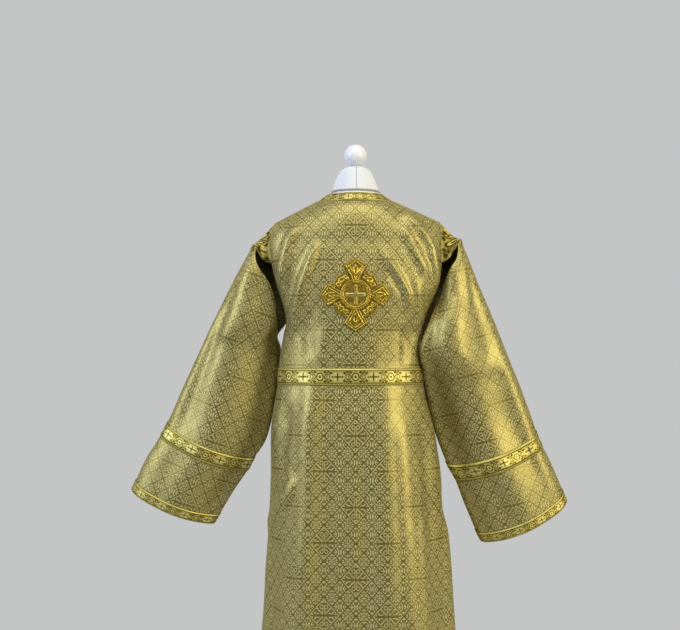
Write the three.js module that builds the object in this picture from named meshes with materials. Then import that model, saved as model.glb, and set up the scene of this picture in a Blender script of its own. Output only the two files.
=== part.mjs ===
// A sticharion, the long wide-sleeved church vestment, in stiff gold brocade with woven galloon
// and an embroidered cross on its back, standing on a limbless dress form with a round foot.
// Millimetres, +Z up, the wearer faces +Y. The origin is the middle of the foot's underside.
import * as THREE from "three";
import { mergeVertices } from "three/addons/utils/BufferGeometryUtils.js";

// ---------------------------------------------------------------- driving dimensions
const CLOTH = 2; // brocade with its seam allowances, as one wall
const TRIM = 1.2; // woven galloon
const GAP = 0.3; // clearance between neighbouring pieces
const COLUMNS = 24; // steps across one body panel, a multiple of 6 so that the neck corner is a column
const NECK_COLUMN = 1 / 3; // where the shoulder seam ends and the neckline begins, 0 centre, 1 edge
const SHOULDER_STEPS = [0.25, 0.5, 0.72, 0.88, 1]; // rows from the blades up to the shoulder seam
const SLEEVE_COLUMNS = 22;
const PANEL_CROWN = 0.85; // under 1 the middle of a panel is flatter than an ellipse
const STRIP_INSET = 2; // columns by which the armhole strip is shorter than the sleeve's head
const STRIP_CROWN = { out: 2, up: 4 }; // how far the strip swells over the shoulder tip

// Horizontal sections of the body, from the hem up. left and right are the sides, back and front
// the middles, edgeBack and edgeFront how far behind or before the side line the panel edges lie:
// they meet in the side seam up to the underarm and part above it, round the armhole.
const BODY = [
  { z: 95, left: -290, right: 288, back: -212, front: 214, edgeBack: 5, edgeFront: 5 },
  { z: 240, left: -266, right: 274, back: -196, front: 199, edgeBack: 5, edgeFront: 5 },
  { z: 400, left: -241, right: 259, back: -180, front: 184, edgeBack: 5, edgeFront: 5 },
  { z: 574, left: -232, right: 248, back: -164, front: 168, edgeBack: 5, edgeFront: 5 },
  { z: 657, left: -226, right: 240, back: -156, front: 160, edgeBack: 5, edgeFront: 5 },
  { z: 717, left: -223, right: 226, back: -150, front: 153, edgeBack: 5, edgeFront: 5 },
  { z: 800, left: -220, right: 222, back: -142, front: 145, edgeBack: 5, edgeFront: 5 },
  { z: 870, left: -220, right: 213, back: -135, front: 137, edgeBack: 5, edgeFront: 5 },
  { z: 925, left: -219, right: 204, back: -130, front: 131, edgeBack: 5, edgeFront: 5 },
  { z: 987, left: -211, right: 187, back: -123, front: 123, edgeBack: 5, edgeFront: 5 },
  { z: 1038, left: -202, right: 176, back: -117, front: 116, edgeBack: 5, edgeFront: 5 },
  { z: 1081, left: -200, right: 175, back: -115, front: 113, edgeBack: 5, edgeFront: 5 },
  { z: 1170, left: -186, right: 176, back: -117, front: 115, edgeBack: 5, edgeFront: 5 },
  { z: 1200, left: -178, right: 178, back: -118, front: 117, edgeBack: -22, edgeFront: 24 },
  { z: 1240, left: -184, right: 190, back: -120, front: 118, edgeBack: -32, edgeFront: 34 },
  { z: 1285, left: -198, right: 208, back: -121, front: 118, edgeBack: -39, edgeFront: 38 },
  { z: 1330, left: -210, right: 217, back: -120, front: 115, edgeBack: -42, edgeFront: 40 },
  { z: 1370, left: -217, right: 219, back: -116, front: 109, edgeBack: -40, edgeFront: 38 },
  { z: 1402, left: -220, right: 219, back: -110, front: 101, edgeBack: -32, edgeFront: 30 },
];
const WAIST_ROW = 10; // the waist galloon lies between this section and the next
const UNDERARM_ROW = 12; // the last section with a side seam
const FORM_ROW = 7; // the section at the dress form's lower end

// The shoulder seams run from the neck's sides to the shoulder tips.
const SHOULDER = { neckZ: 1514, leftTip: -204, rightTip: 217, leftTipZ: 1457, rightTipZ: 1459 };
const NECKLINE = { halfWidth: 94, back: 78, front: 80, backDrop: 8, frontDrop: 40 };
const COLLAR = { halfWidth: 74, back: 70, front: 71, rise: 13, backRise: 21, frontRise: 22 };

// Flutes of the skirt, each a soft ridge or trough that grows towards the hem: angle round the body
// from the centre back (+ to the wearer's right) at its top and at the hem, half-width in degrees,
// how far it stands out at the hem, and the height where it starts.
const FLUTES = [
  { top: -46, hem: -40, half: 17, out: 20, start: 1035 },
  { top: -75, hem: -68, half: 15, out: -14, start: 960 },
  { top: -14, hem: -12, half: 17, out: -12, start: 900 },
  { top: 12, hem: 10, half: 14, out: 7, start: 760 },
  { top: 42, hem: 36, half: 17, out: 19, start: 1035 },
  { top: 68, hem: 64, half: 14, out: -13, start: 960 },
  { top: 100, hem: 104, half: 18, out: 12, start: 900 },
  { top: 128, hem: 132, half: 16, out: -14, start: 960 },
  { top: 150, hem: 154, half: 15, out: 17, start: 1000 },
  { top: 180, hem: 178, half: 16, out: -12, start: 900 },
  { top: -150, hem: -153, half: 16, out: 18, start: 1000 },
  { top: -126, hem: -129, half: 14, out: -13, start: 940 },
  { top: -103, hem: -100, half: 17, out: 11, start: 880 },
];

// Sections of the sleeves from the shoulder to the cuff. outX, outY, outZ is the fold away from the
// body and inX, inY, inZ the fold beside it, where the underarm seam lies. depth is the tube's size
// front to back, dip how far its back half hangs below its front half, and back and fore the angles
// behind and before the underarm seam that the cloth leaves open.
const LEFT_SLEEVE = [
  { outX: -264, outY: 0, outZ: 1402, inX: -226, inY: 32, inZ: 1344, depth: 104, dip: 0, back: 126, fore: 8 },
  { outX: -303, outY: 0, outZ: 1332, inX: -214, inY: 0, inZ: 1322, depth: 112, dip: 0, back: 63, fore: 8 },
  { outX: -334, outY: 2, outZ: 1272, inX: -196, inY: 2, inZ: 1262, depth: 112, dip: 2, back: 43, fore: 4 },
  { outX: -362, outY: 4, outZ: 1216, inX: -186, inY: 4, inZ: 1203, depth: 110, dip: 4, back: 36, fore: 3 },
  { outX: -382, outY: 5, outZ: 1175, inX: -204, inY: 8, inZ: 1164, depth: 108, dip: 6, back: 6, fore: 2 },
  { outX: -398, outY: 6, outZ: 1140, inX: -207, inY: 12, inZ: 1124, depth: 106, dip: 8, back: 0.4, fore: 0.4 },
  { outX: -435, outY: 8, outZ: 1060, inX: -211, inY: 14, inZ: 1020, depth: 100, dip: 12, back: 0.4, fore: 0.4 },
  { outX: -468, outY: 10, outZ: 985, inX: -231, inY: 14, inZ: 905, depth: 96, dip: 16, back: 0.4, fore: 0.4 },
  { outX: -490, outY: 12, outZ: 938, inX: -262, inY: 14, inZ: 849, depth: 92, dip: 19, back: 0.4, fore: 0.4 },
  { outX: -507, outY: 12, outZ: 906, inX: -279, inY: 14, inZ: 817, depth: 90, dip: 20, back: 0.4, fore: 0.4 },
  { outX: -545, outY: 14, outZ: 845, inX: -318, inY: 16, inZ: 760, depth: 86, dip: 20, back: 0.4, fore: 0.4 },
  { outX: -572, outY: 15, outZ: 788, inX: -352, inY: 17, inZ: 703, depth: 84, dip: 19, back: 0.4, fore: 0.4 },
  { outX: -583, outY: 16, outZ: 765, inX: -366, inY: 18, inZ: 680, depth: 82, dip: 19, back: 0.4, fore: 0.4 },
];
const RIGHT_SLEEVE = [
  { outX: 272, outY: 0, outZ: 1415, inX: 230, inY: 32, inZ: 1350, depth: 104, dip: 0, back: 126, fore: 8 },
  { outX: 300, outY: 0, outZ: 1346, inX: 220, inY: -2, inZ: 1332, depth: 116, dip: 0, back: 68, fore: 8 },
  { outX: 330, outY: 0, outZ: 1272, inX: 206, inY: -12, inZ: 1262, depth: 122, dip: 4, back: 30, fore: 4 },
  { outX: 358, outY: 2, outZ: 1208, inX: 181, inY: -46, inZ: 1196, depth: 118, dip: 6, back: 16, fore: 3 },
  { outX: 386, outY: 4, outZ: 1138, inX: 160, inY: -64, inZ: 1128, depth: 108, dip: 8, back: 0.4, fore: 0.4 },
  { outX: 402, outY: 6, outZ: 1098, inX: 167, inY: -52, inZ: 1084, depth: 104, dip: 12, back: 0.4, fore: 0.4 },
  { outX: 420, outY: 8, outZ: 1056, inX: 181, inY: -26, inZ: 1036, depth: 100, dip: 15, back: 0.4, fore: 0.4 },
  { outX: 447, outY: 10, outZ: 985, inX: 204, inY: 6, inZ: 945, depth: 96, dip: 20, back: 0.4, fore: 0.4 },
  { outX: 471, outY: 12, outZ: 916, inX: 239, inY: 14, inZ: 836, depth: 92, dip: 24, back: 0.4, fore: 0.4 },
  { outX: 486, outY: 12, outZ: 880, inX: 258, inY: 14, inZ: 796, depth: 92, dip: 26, back: 0.4, fore: 0.4 },
  { outX: 515, outY: 14, outZ: 822, inX: 284, inY: 16, inZ: 728, depth: 94, dip: 28, back: 0.4, fore: 0.4 },
  { outX: 541, outY: 16, outZ: 760, inX: 313, inY: 18, inZ: 660, depth: 94, dip: 28, back: 0.4, fore: 0.4 },
  { outX: 551, outY: 16, outZ: 736, inX: 325, inY: 18, inZ: 636, depth: 94, dip: 28, back: 0.4, fore: 0.4 },
];

const SLEEVE_SEAM_ROWS = 9; // rows from the cuff up to the underarm, closed by the underarm seam
const CUFF_ROW = 0; // the cuff galloon lies between this row, counted from the cuff, and the next
const BAND_ROW = 3; // and the sleeve galloon between this row and the next
const SLEEVE_CALM_Z = 1330; // the folds below start under this height
const SLEEVE_CALM = 260; // and are full this far down

// Lengthwise folds of the sleeves: angle round the tube from the outer fold (- is the back half),
// half-width in degrees, and how far the fold stands out where it is deepest.
const SLEEVE_FOLDS = [
  { at: -100, half: 30, out: 7 },
  { at: -140, half: 22, out: -6 },
  { at: -45, half: 24, out: -5 },
  { at: 60, half: 26, out: 6 },
  { at: 105, half: 24, out: -6 },
  { at: 145, half: 20, out: 5 },
];

// The cross: each arm flares from its root at the ring to its end, which has a low point.
const CROSS = { x: -1, z: 1265, halfWidth: 90, halfHeight: 93, ringOuter: 38, ringInner: 29 };
const RING = { thick: 3, columns: 20, rows: 2 };
const DISC = { thick: 1.6, columns: 8, rows: 8 };
const ARM = { root: 9.5, end: 27.5, point: 20, thick: 2.2, hollow: 0.9, columns: 6, rows: 5 };
// Leaves fill the quarters between the arms; spread is in degrees each way, and the outer edge
// swells from side to its middle.
const LEAF = { from: 39, side: 55, middle: 62, spread: 23, thick: 1.8, columns: 8, rows: 3 };
const CROSS_LIFT = 0.7; // the back panel's facets fall short of its curve by up to this

// The dress form. inset is how far its surface lies inside the outer face of the cloth, a row for
// each body section from FORM_ROW up; at the shoulders the cloth rests on it.
const FORM_INSET = [50, 50, 48, 46, 44, 31, 25, 18, 12, 8, 5, 3.4];
const FORM_REST = CLOTH + GAP + 0.15;
const FORM_CLEAR = CLOTH + 3; // between the shoulder seams, round the neck
const FORM_NECK = { inside: 0.93, step: 1, radius: 66, flare: 6, topRadius: 63, z: 1532.5 };
// The neck cap's outline, radius and z from its base to the flat top under the knob.
const CAP = [
  [62, 1532.8],
  [60, 1541.8],
  [51, 1567],
  [41, 1588],
  [27, 1599],
  [18, 1601.7],
];
const KNOB = { radius: 29, centreZ: 1631, steps: 16, segments: 32 };
const POLE = { radius: 15, bottomZ: 54 };
const SOCKET = { radius: 27, collar: 33, collarZ: 30, topZ: 70 };
const FOOT = { radius: 195, edge: 10, slopeRadius: 187, slopeZ: 15, crownRadius: 53, crown: 22 };

// ---------------------------------------------------------------- materials
const brocade = new THREE.MeshStandardMaterial({ color: "#b3a468", roughness: 0.45, metalness: 0.35 });
const galloon = new THREE.MeshStandardMaterial({ color: "#b79a2c", roughness: 0.35, metalness: 0.5 });
const goldwork = new THREE.MeshStandardMaterial({ color: "#b5851f", roughness: 0.4, metalness: 0.5 });
const whiteCloth = new THREE.MeshStandardMaterial({ color: "#e6e4de", roughness: 0.85, metalness: 0 });
const whiteGloss = new THREE.MeshStandardMaterial({ color: "#f2f1ed", roughness: 0.2, metalness: 0 });
const steel = new THREE.MeshStandardMaterial({ color: "#c9cacb", roughness: 0.3, metalness: 1 });

const vestment = new THREE.Group();
const radians = THREE.MathUtils.degToRad;
const lerp = THREE.MathUtils.lerp;

function add(name, geometry, material) {
  const mesh = new THREE.Mesh(geometry, material);
  mesh.name = name;
  vestment.add(mesh);
}

// ---------------------------------------------------------------- sheets
// A list of triangles becomes a geometry with shared corners, without the ones that closed up.
function weld(triangles) {
  const positions = triangles.flatMap((corner) => [corner.x, corner.y, corner.z]);
  const loose = new THREE.BufferGeometry();
  loose.setAttribute("position", new THREE.Float32BufferAttribute(positions, 3));
  const merged = mergeVertices(loose, 1e-3);
  const index = merged.getIndex().array;
  const kept = [];
  for (let i = 0; i < index.length; i += 3) {
    const [a, b, c] = [index[i], index[i + 1], index[i + 2]];
    if (a !== b && b !== c && c !== a) kept.push(a, b, c);
  }
  merged.setIndex(kept);
  return merged;
}

// Four corners, anticlockwise seen from outside, become two triangles.
function quad(triangles, a, b, c, d) {
  triangles.push(a, b, c, a, c, d);
}

// The outward normal at each point of a grid, from its neighbours along both ways.
function gridNormals(grid, wraps) {
  const last = grid[0].length - 1;
  return grid.map((row, j) =>
    row.map((point, i) => {
      const before = wraps && i === 0 ? row[last - 1] : row[Math.max(i - 1, 0)];
      const after = wraps && i === last ? row[1] : row[Math.min(i + 1, last)];
      const under = grid[Math.max(j - 1, 0)][i];
      const over = grid[Math.min(j + 1, grid.length - 1)][i];
      const across = new THREE.Vector3().subVectors(after, before);
      const upward = new THREE.Vector3().subVectors(over, under);
      return across.cross(upward).normalize();
    }),
  );
}

function moved(grid, normals, distance) {
  return grid.map((row, j) => row.map((p, i) => p.clone().addScaledVector(normals[j][i], distance)));
}

// A closed wall between two grids of the same size. Rows run up, columns run anticlockwise seen
// from outside; where wraps is set the last column is the first again.
function wall(outer, inner, wraps = false) {
  const triangles = [];
  const rows = outer.length - 1;
  const columns = outer[0].length - 1;
  for (let j = 0; j < rows; j++) {
    for (let i = 0; i < columns; i++) {
      quad(triangles, outer[j][i], outer[j][i + 1], outer[j + 1][i + 1], outer[j + 1][i]);
      quad(triangles, inner[j][i], inner[j + 1][i], inner[j + 1][i + 1], inner[j][i + 1]);
    }
  }
  for (let i = 0; i < columns; i++) {
    quad(triangles, inner[0][i], inner[0][i + 1], outer[0][i + 1], outer[0][i]);
    quad(triangles, outer[rows][i], outer[rows][i + 1], inner[rows][i + 1], inner[rows][i]);
  }
  for (let j = 0; j < rows && !wraps; j++) {
    quad(triangles, inner[j][0], outer[j][0], outer[j + 1][0], inner[j + 1][0]);
    quad(triangles, outer[j][columns], inner[j][columns], inner[j + 1][columns], outer[j + 1][columns]);
  }
  return weld(triangles);
}

// A strip of a grid, rows from..to and columns first..last, laid on it as a trim.
function laidOn(grid, normals, from, to) {
  const rows = grid.slice(from, to + 1);
  const rowNormals = normals.slice(from, to + 1);
  return [moved(rows, rowNormals, GAP + TRIM), moved(rows, rowNormals, GAP)];
}

// ---------------------------------------------------------------- body panels
// side is -1 for the back panel and 1 for the front one; s runs -1..1 across a panel from the left.
function fluteOut(side, s, z) {
  const angle = side < 0 ? s * 90 : 180 - s * 90;
  let out = 0;
  for (const flute of FLUTES) {
    if (z >= flute.start) continue;
    const fallen = (flute.start - z) / (flute.start - BODY[0].z);
    const centre = lerp(flute.top, flute.hem, fallen);
    const off = Math.abs(((angle - centre + 540) % 360) - 180);
    if (off < flute.half) out += flute.out * fallen * Math.cos((off / flute.half) * (Math.PI / 2)) ** 2;
  }
  return out;
}

function sectionPoint(section, side, s, withFlutes) {
  const sine = Math.sin((s * Math.PI) / 2);
  const cosine = Math.max(Math.cos((s * Math.PI) / 2), 0) ** PANEL_CROWN;
  const middleX = (section.left + section.right) / 2;
  const halfWidth = (section.right - section.left) / 2;
  const edge = side < 0 ? section.edgeBack - GAP / 2 : section.edgeFront + GAP / 2;
  const middle = side < 0 ? section.back : section.front;
  const out = withFlutes ? fluteOut(side, s, section.z) : 0;
  return new THREE.Vector3(
    middleX + (halfWidth + out) * sine,
    edge + (middle - edge) * cosine + side * out * cosine,
    section.z,
  );
}

// The top edge of a panel: the shoulder seams outside NECK_COLUMN and the neckline inside it.
function neckPoint(angle) {
  const backward = Math.max(Math.cos(angle), 0);
  const forward = Math.max(-Math.cos(angle), 0);
  const y = NECKLINE.front * forward - NECKLINE.back * backward;
  const z = SHOULDER.neckZ - NECKLINE.backDrop * backward - NECKLINE.frontDrop * forward;
  return new THREE.Vector3(NECKLINE.halfWidth * Math.sin(angle), y, z);
}

function topPoint(side, s) {
  if (Math.abs(s) < NECK_COLUMN) {
    const angle = ((s / NECK_COLUMN) * Math.PI) / 2;
    return neckPoint(side < 0 ? angle : Math.PI - angle);
  }
  const neckSine = Math.sin((NECK_COLUMN * Math.PI) / 2);
  const along = (Math.abs(Math.sin((s * Math.PI) / 2)) - neckSine) / (1 - neckSine);
  const tipX = s < 0 ? SHOULDER.leftTip : SHOULDER.rightTip;
  const tipZ = s < 0 ? SHOULDER.leftTipZ : SHOULDER.rightTipZ;
  const x = lerp(Math.sign(s) * NECKLINE.halfWidth, tipX, along);
  return new THREE.Vector3(x, (side * GAP) / 2, lerp(SHOULDER.neckZ, tipZ, along));
}

function panelGrid(side, withFlutes) {
  const columns = Array.from({ length: COLUMNS + 1 }, (_, i) => -1 + (2 * i) / COLUMNS);
  const grid = BODY.map((section) => columns.map((s) => sectionPoint(section, side, s, withFlutes)));
  const blades = grid[grid.length - 1];
  for (const step of SHOULDER_STEPS) {
    const forward = 1 - Math.cos((step * Math.PI) / 2);
    const upward = Math.sin((step * Math.PI) / 2);
    const row = columns.map((s, i) => {
      const top = topPoint(side, s);
      const y = lerp(blades[i].y, top.y, forward);
      return new THREE.Vector3(lerp(blades[i].x, top.x, step), y, lerp(blades[i].z, top.z, upward));
    });
    grid.push(row);
  }
  return grid;
}

// At the side seams and the shoulder seams both panels turn square to the seam, so that they stay
// parallel and a gap apart.
function panelNormals(grid, side) {
  const normals = gridNormals(grid, false);
  if (side > 0) normals.forEach((row) => row.forEach((normal) => normal.negate()));
  for (let j = 0; j <= UNDERARM_ROW; j++) {
    for (const i of [0, COLUMNS]) normals[j][i].setY(0).normalize();
  }
  normals[normals.length - 1].forEach((normal, i) => {
    if (onShoulderSeam(i)) normal.copy(shoulderNormal(i < COLUMNS / 2));
  });
  return normals;
}

function onShoulderSeam(column) {
  return Math.abs(column - COLUMNS / 2) >= NECK_COLUMN * (COLUMNS / 2);
}

function shoulderNormal(isLeft) {
  const out = isLeft ? -SHOULDER.leftTip : SHOULDER.rightTip;
  const drop = SHOULDER.neckZ - (isLeft ? SHOULDER.leftTipZ : SHOULDER.rightTipZ);
  return new THREE.Vector3(isLeft ? -drop : drop, 0, out - NECKLINE.halfWidth).normalize();
}

// The front grid runs left to right too, so its columns are turned round before it becomes a wall.
function panelWall(side, outer, inner) {
  const order = (grid) => (side < 0 ? grid : grid.map((row) => [...row].reverse()));
  return wall(order(outer), order(inner));
}

const SIDES = [
  { name: "back", side: -1 },
  { name: "front", side: 1 },
];
for (const { name, side } of SIDES) {
  const grid = panelGrid(side, true);
  const normals = panelNormals(grid, side);
  add(`${name}_panel`, panelWall(side, grid, moved(grid, normals, -CLOTH)), brocade);
  const [outer, inner] = laidOn(grid, normals, WAIST_ROW, WAIST_ROW + 1);
  add(`waist_galloon_${name}`, panelWall(side, outer, inner), galloon);
}

// ---------------------------------------------------------------- collar
// A band of galloon that stands on the neckline all the way round, leaning in to the neck.
const COLLAR_COLUMNS = 16; // as many as the necklines of both panels have
const collarRing = (height) =>
  Array.from({ length: COLLAR_COLUMNS + 1 }, (_, i) => {
    const angle = ((i % COLLAR_COLUMNS) / COLLAR_COLUMNS) * 2 * Math.PI - Math.PI;
    const foot = neckPoint(angle);
    const backward = Math.max(Math.cos(angle), 0);
    const forward = Math.max(-Math.cos(angle), 0);
    const rise = COLLAR.rise + (COLLAR.backRise - COLLAR.rise) * backward
      + (COLLAR.frontRise - COLLAR.rise) * forward;
    const top = new THREE.Vector3(
      COLLAR.halfWidth * Math.sin(angle),
      COLLAR.front * forward - COLLAR.back * backward,
      foot.z + rise,
    );
    foot.z += GAP;
    return foot.lerp(top, height);
  });
const collarGrid = [collarRing(0), collarRing(0.5), collarRing(1)];
const collarNormals = gridNormals(collarGrid, true);
add("collar_galloon", wall(collarGrid, moved(collarGrid, collarNormals, -TRIM), true), galloon);

// ---------------------------------------------------------------- sleeves
// u runs -1..1 round the tube from the back edge of the underarm over the outer fold to the front
// edge; hand is -1 on the left and 1 on the right.
function sleevePoint(section, u, shut) {
  const open = radians(u < 0 ? section.back : section.fore);
  const angle = u * (Math.PI - (shut ? 0 : open));
  const out = new THREE.Vector3(section.outX, section.outY, section.outZ);
  const inside = new THREE.Vector3(section.inX, section.inY, section.inZ);
  const half = new THREE.Vector3().subVectors(out, inside).multiplyScalar(0.5);
  const sine = Math.sin(angle);
  let fold = 0;
  for (const { at, half: width, out: deep } of SLEEVE_FOLDS) {
    const off = Math.abs(THREE.MathUtils.radToDeg(angle) - at);
    if (off < width) fold += deep * Math.cos((off / width) * (Math.PI / 2)) ** 2;
  }
  const calm = Math.min(1, Math.max(0, (SLEEVE_CALM_Z - section.inZ) / SLEEVE_CALM));
  const point = new THREE.Vector3().addVectors(out, inside).multiplyScalar(0.5);
  point.addScaledVector(half, Math.cos(angle));
  point.y += (section.depth / 2 + fold * calm) * sine;
  point.z += section.dip * sine;
  return point;
}

// Towards the left the columns run the other way round, seen from outside.
function sleeveGrid(sections, hand, shut) {
  return [...sections].reverse().map((section) =>
    Array.from({ length: SLEEVE_COLUMNS + 1 }, (_, i) =>
      sleevePoint(section, hand * (-1 + (2 * i) / SLEEVE_COLUMNS), shut),
    ),
  );
}

const SLEEVES = [
  { name: "left", hand: -1, sections: LEFT_SLEEVE },
  { name: "right", hand: 1, sections: RIGHT_SLEEVE },
];
for (const { name, hand, sections } of SLEEVES) {
  const grid = sleeveGrid(sections, hand, false);
  const normals = gridNormals(grid, false);
  for (const row of normals.slice(0, SLEEVE_SEAM_ROWS)) {
    const seam = row[0].clone().add(row[SLEEVE_COLUMNS]).normalize();
    row[0].copy(seam);
    row[SLEEVE_COLUMNS].copy(seam);
  }
  add(`sleeve_${name}`, wall(grid, moved(grid, normals, -CLOTH)), brocade);
  const shut = sleeveGrid(sections, hand, true);
  const shutNormals = gridNormals(shut, true);
  const [band, bandInner] = laidOn(shut, shutNormals, BAND_ROW, BAND_ROW + 1);
  add(`sleeve_galloon_${name}`, wall(band, bandInner, true), galloon);
  const [cuff, cuffInner] = laidOn(shut, shutNormals, CUFF_ROW, CUFF_ROW + 1);
  add(`cuff_galloon_${name}`, wall(cuff, cuffInner, true), galloon);
}

// ---------------------------------------------------------------- armhole galloon
// A wide strip of galloon bridges the shoulder tip: it starts at the top of the armhole, where its
// edge follows the last body sections and the shoulder rows, and ends on top of the sleeve's head.
function armholeEdge(hand) {
  const column = hand < 0 ? 0 : COLUMNS;
  const [back, front] = SIDES.map(({ side }) =>
    panelGrid(side, true).slice(-(SHOULDER_STEPS.length + 2)).map((row) => row[column]),
  );
  return new THREE.CatmullRomCurve3([...back.slice(0, -1), ...front.reverse().slice(1)]);
}

function addArmholeStrip(name, hand, head, headNormals) {
  const edge = armholeEdge(hand);
  const columns = head.length - 1;
  const [bodyRow, crownRow, sleeveRow] = [[], [], []];
  for (let i = STRIP_INSET; i <= columns - STRIP_INSET; i++) {
    const onSleeve = head[i].clone().addScaledVector(headNormals[i], GAP + TRIM + GAP);
    const onBody = edge.getPointAt(hand < 0 ? 1 - i / columns : i / columns);
    const away = new THREE.Vector3().subVectors(onSleeve, onBody).normalize();
    onBody.addScaledVector(away, 2 * GAP);
    const crown = new THREE.Vector3(hand * STRIP_CROWN.out, 0, STRIP_CROWN.up);
    bodyRow.push(onBody);
    crownRow.push(onBody.clone().lerp(onSleeve, 0.5).add(crown));
    sleeveRow.push(onSleeve);
  }
  const grid = [sleeveRow, crownRow, bodyRow];
  const normals = gridNormals(grid, false);
  normals[0] = headNormals.slice(STRIP_INSET, columns - STRIP_INSET + 1);
  add(`armhole_galloon_${name}`, wall(grid, moved(grid, normals, -TRIM)), galloon);
}
for (const { name, hand, sections } of SLEEVES) {
  const grid = sleeveGrid(sections, hand, false);
  const normals = gridNormals(grid, false);
  const head = grid.length - 1;
  addArmholeStrip(name, hand, grid[head], normals[head]);
}

// ---------------------------------------------------------------- cross on the back
// Each piece is a small grid in the plane of the back, laid on the panel's curve.
function onBack(x, z, lift) {
  const above = BODY.findIndex((section) => section.z > z);
  const [low, high] = [BODY[above - 1], BODY[above]];
  const share = (z - low.z) / (high.z - low.z);
  const mixed = { z };
  for (const key of ["left", "right", "back", "front", "edgeBack", "edgeFront"]) {
    mixed[key] = lerp(low[key], high[key], share);
  }
  const middleX = (mixed.left + mixed.right) / 2;
  const s = Math.asin((x - middleX) / ((mixed.right - mixed.left) / 2)) / (Math.PI / 2);
  const point = sectionPoint(mixed, -1, s, false);
  return new THREE.Vector3(point.x, point.y - lift, point.z);
}

// place gives x and z for u, v in 0..1; columns run anticlockwise seen from behind the wearer.
function patch(name, columns, rows, thick, place, wraps = false) {
  const layer = (lift) =>
    Array.from({ length: rows + 1 }, (_, j) =>
      Array.from({ length: columns + 1 }, (_, i) => {
        const [x, z] = place((wraps ? i % columns : i) / columns, j / rows);
        return onBack(CROSS.x + x, CROSS.z + z, lift);
      }),
    );
  add(name, wall(layer(CROSS_LIFT + thick), layer(CROSS_LIFT), wraps), goldwork);
}

const ARMS = [
  { name: "up", turn: 0, reach: CROSS.halfHeight },
  { name: "left", turn: 90, reach: CROSS.halfWidth },
  { name: "down", turn: 180, reach: CROSS.halfHeight },
  { name: "right", turn: 270, reach: CROSS.halfWidth },
];
function turned(degrees, x, z) {
  const [sine, cosine] = [Math.sin(radians(degrees)), Math.cos(radians(degrees))];
  return [x * cosine - z * sine, x * sine + z * cosine];
}
for (const { name, turn, reach } of ARMS) {
  const root = CROSS.ringOuter + 2 * GAP;
  patch(`cross_arm_${name}`, ARM.columns, ARM.rows, ARM.thick, (u, v) => {
    const across = (2 * u - 1) * lerp(ARM.root, ARM.end, v);
    const round = root - Math.sqrt(root ** 2 - across ** 2);
    const point = (1 - Math.abs(2 * u - 1)) * ARM.point - ARM.point;
    return turned(turn, across, lerp(root - round * ARM.hollow + GAP, reach + point, v));
  });
}
for (let i = 0; i < 4; i++) {
  patch(`cross_leaf_${i + 1}`, LEAF.columns, LEAF.rows, LEAF.thick, (u, v) => {
    const swell = Math.sin(Math.PI * u);
    const radius = lerp(LEAF.from, lerp(LEAF.side, LEAF.middle, swell), v);
    return turned(45 + 90 * i + (1 - 2 * u) * LEAF.spread, 0, radius);
  });
}
// Rings run outwards in v, so u runs clockwise to keep the face outside.
const ringPlace = (from, to) => (u, v) => {
  const radius = lerp(from, to, v);
  return [radius * Math.sin(2 * Math.PI * u), radius * Math.cos(2 * Math.PI * u)];
};
const ringAt = ringPlace(CROSS.ringInner, CROSS.ringOuter);
patch("cross_ring", RING.columns, RING.rows, RING.thick, ringAt, true);
patch("cross_disc", DISC.columns, DISC.rows, DISC.thick, (u, v) => {
  const [a, b] = [2 * u - 1, 2 * v - 1];
  const radius = CROSS.ringInner - 2 * GAP;
  return [radius * a * Math.sqrt(1 - (b * b) / 2), radius * b * Math.sqrt(1 - (a * a) / 2)];
});

// ---------------------------------------------------------------- dress form
// The torso follows the body sections, further in, up to the shoulders that carry the cloth; its
// arm plates are flat, and the neck rises out of the shoulders.
function formRing(back, front) {
  return [...back, ...[...front].reverse(), back[0]];
}
const formLayers = SIDES.map(({ side }) => {
  const grid = panelGrid(side, false);
  const normals = panelNormals(grid, side);
  return grid.slice(FORM_ROW).map((row, j) =>
    row.map((p, i) => {
      const carries = onShoulderSeam(i) ? FORM_REST : FORM_CLEAR;
      const inset = FORM_INSET[j] ?? carries;
      const point = p.clone().addScaledVector(normals[j + FORM_ROW][i], -inset);
      const seam = j + FORM_ROW <= UNDERARM_ROW && (i === 0 || i === COLUMNS);
      const ridge = j + FORM_ROW === grid.length - 1 && onShoulderSeam(i);
      if (seam || ridge) point.y = seam ? BODY[0].edgeBack : 0;
      if (j === 0) point.z = BODY[FORM_ROW].z;
      return point;
    }),
  );
});
const formTriangles = [];
const formRings = formLayers[0].map((row, j) => formRing(row, formLayers[1][j]));
for (let j = 0; j < formRings.length - 1; j++) {
  const [low, high] = [formRings[j], formRings[j + 1]];
  for (let i = 0; i < low.length - 1; i++) quad(formTriangles, low[i], low[i + 1], high[i + 1], high[i]);
}
const formFoot = new THREE.Vector3(0, BODY[FORM_ROW].edgeBack, BODY[FORM_ROW].z);
const lowest = formRings[0];
for (let i = 0; i < lowest.length - 1; i++) formTriangles.push(formFoot, lowest[i + 1], lowest[i]);

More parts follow.
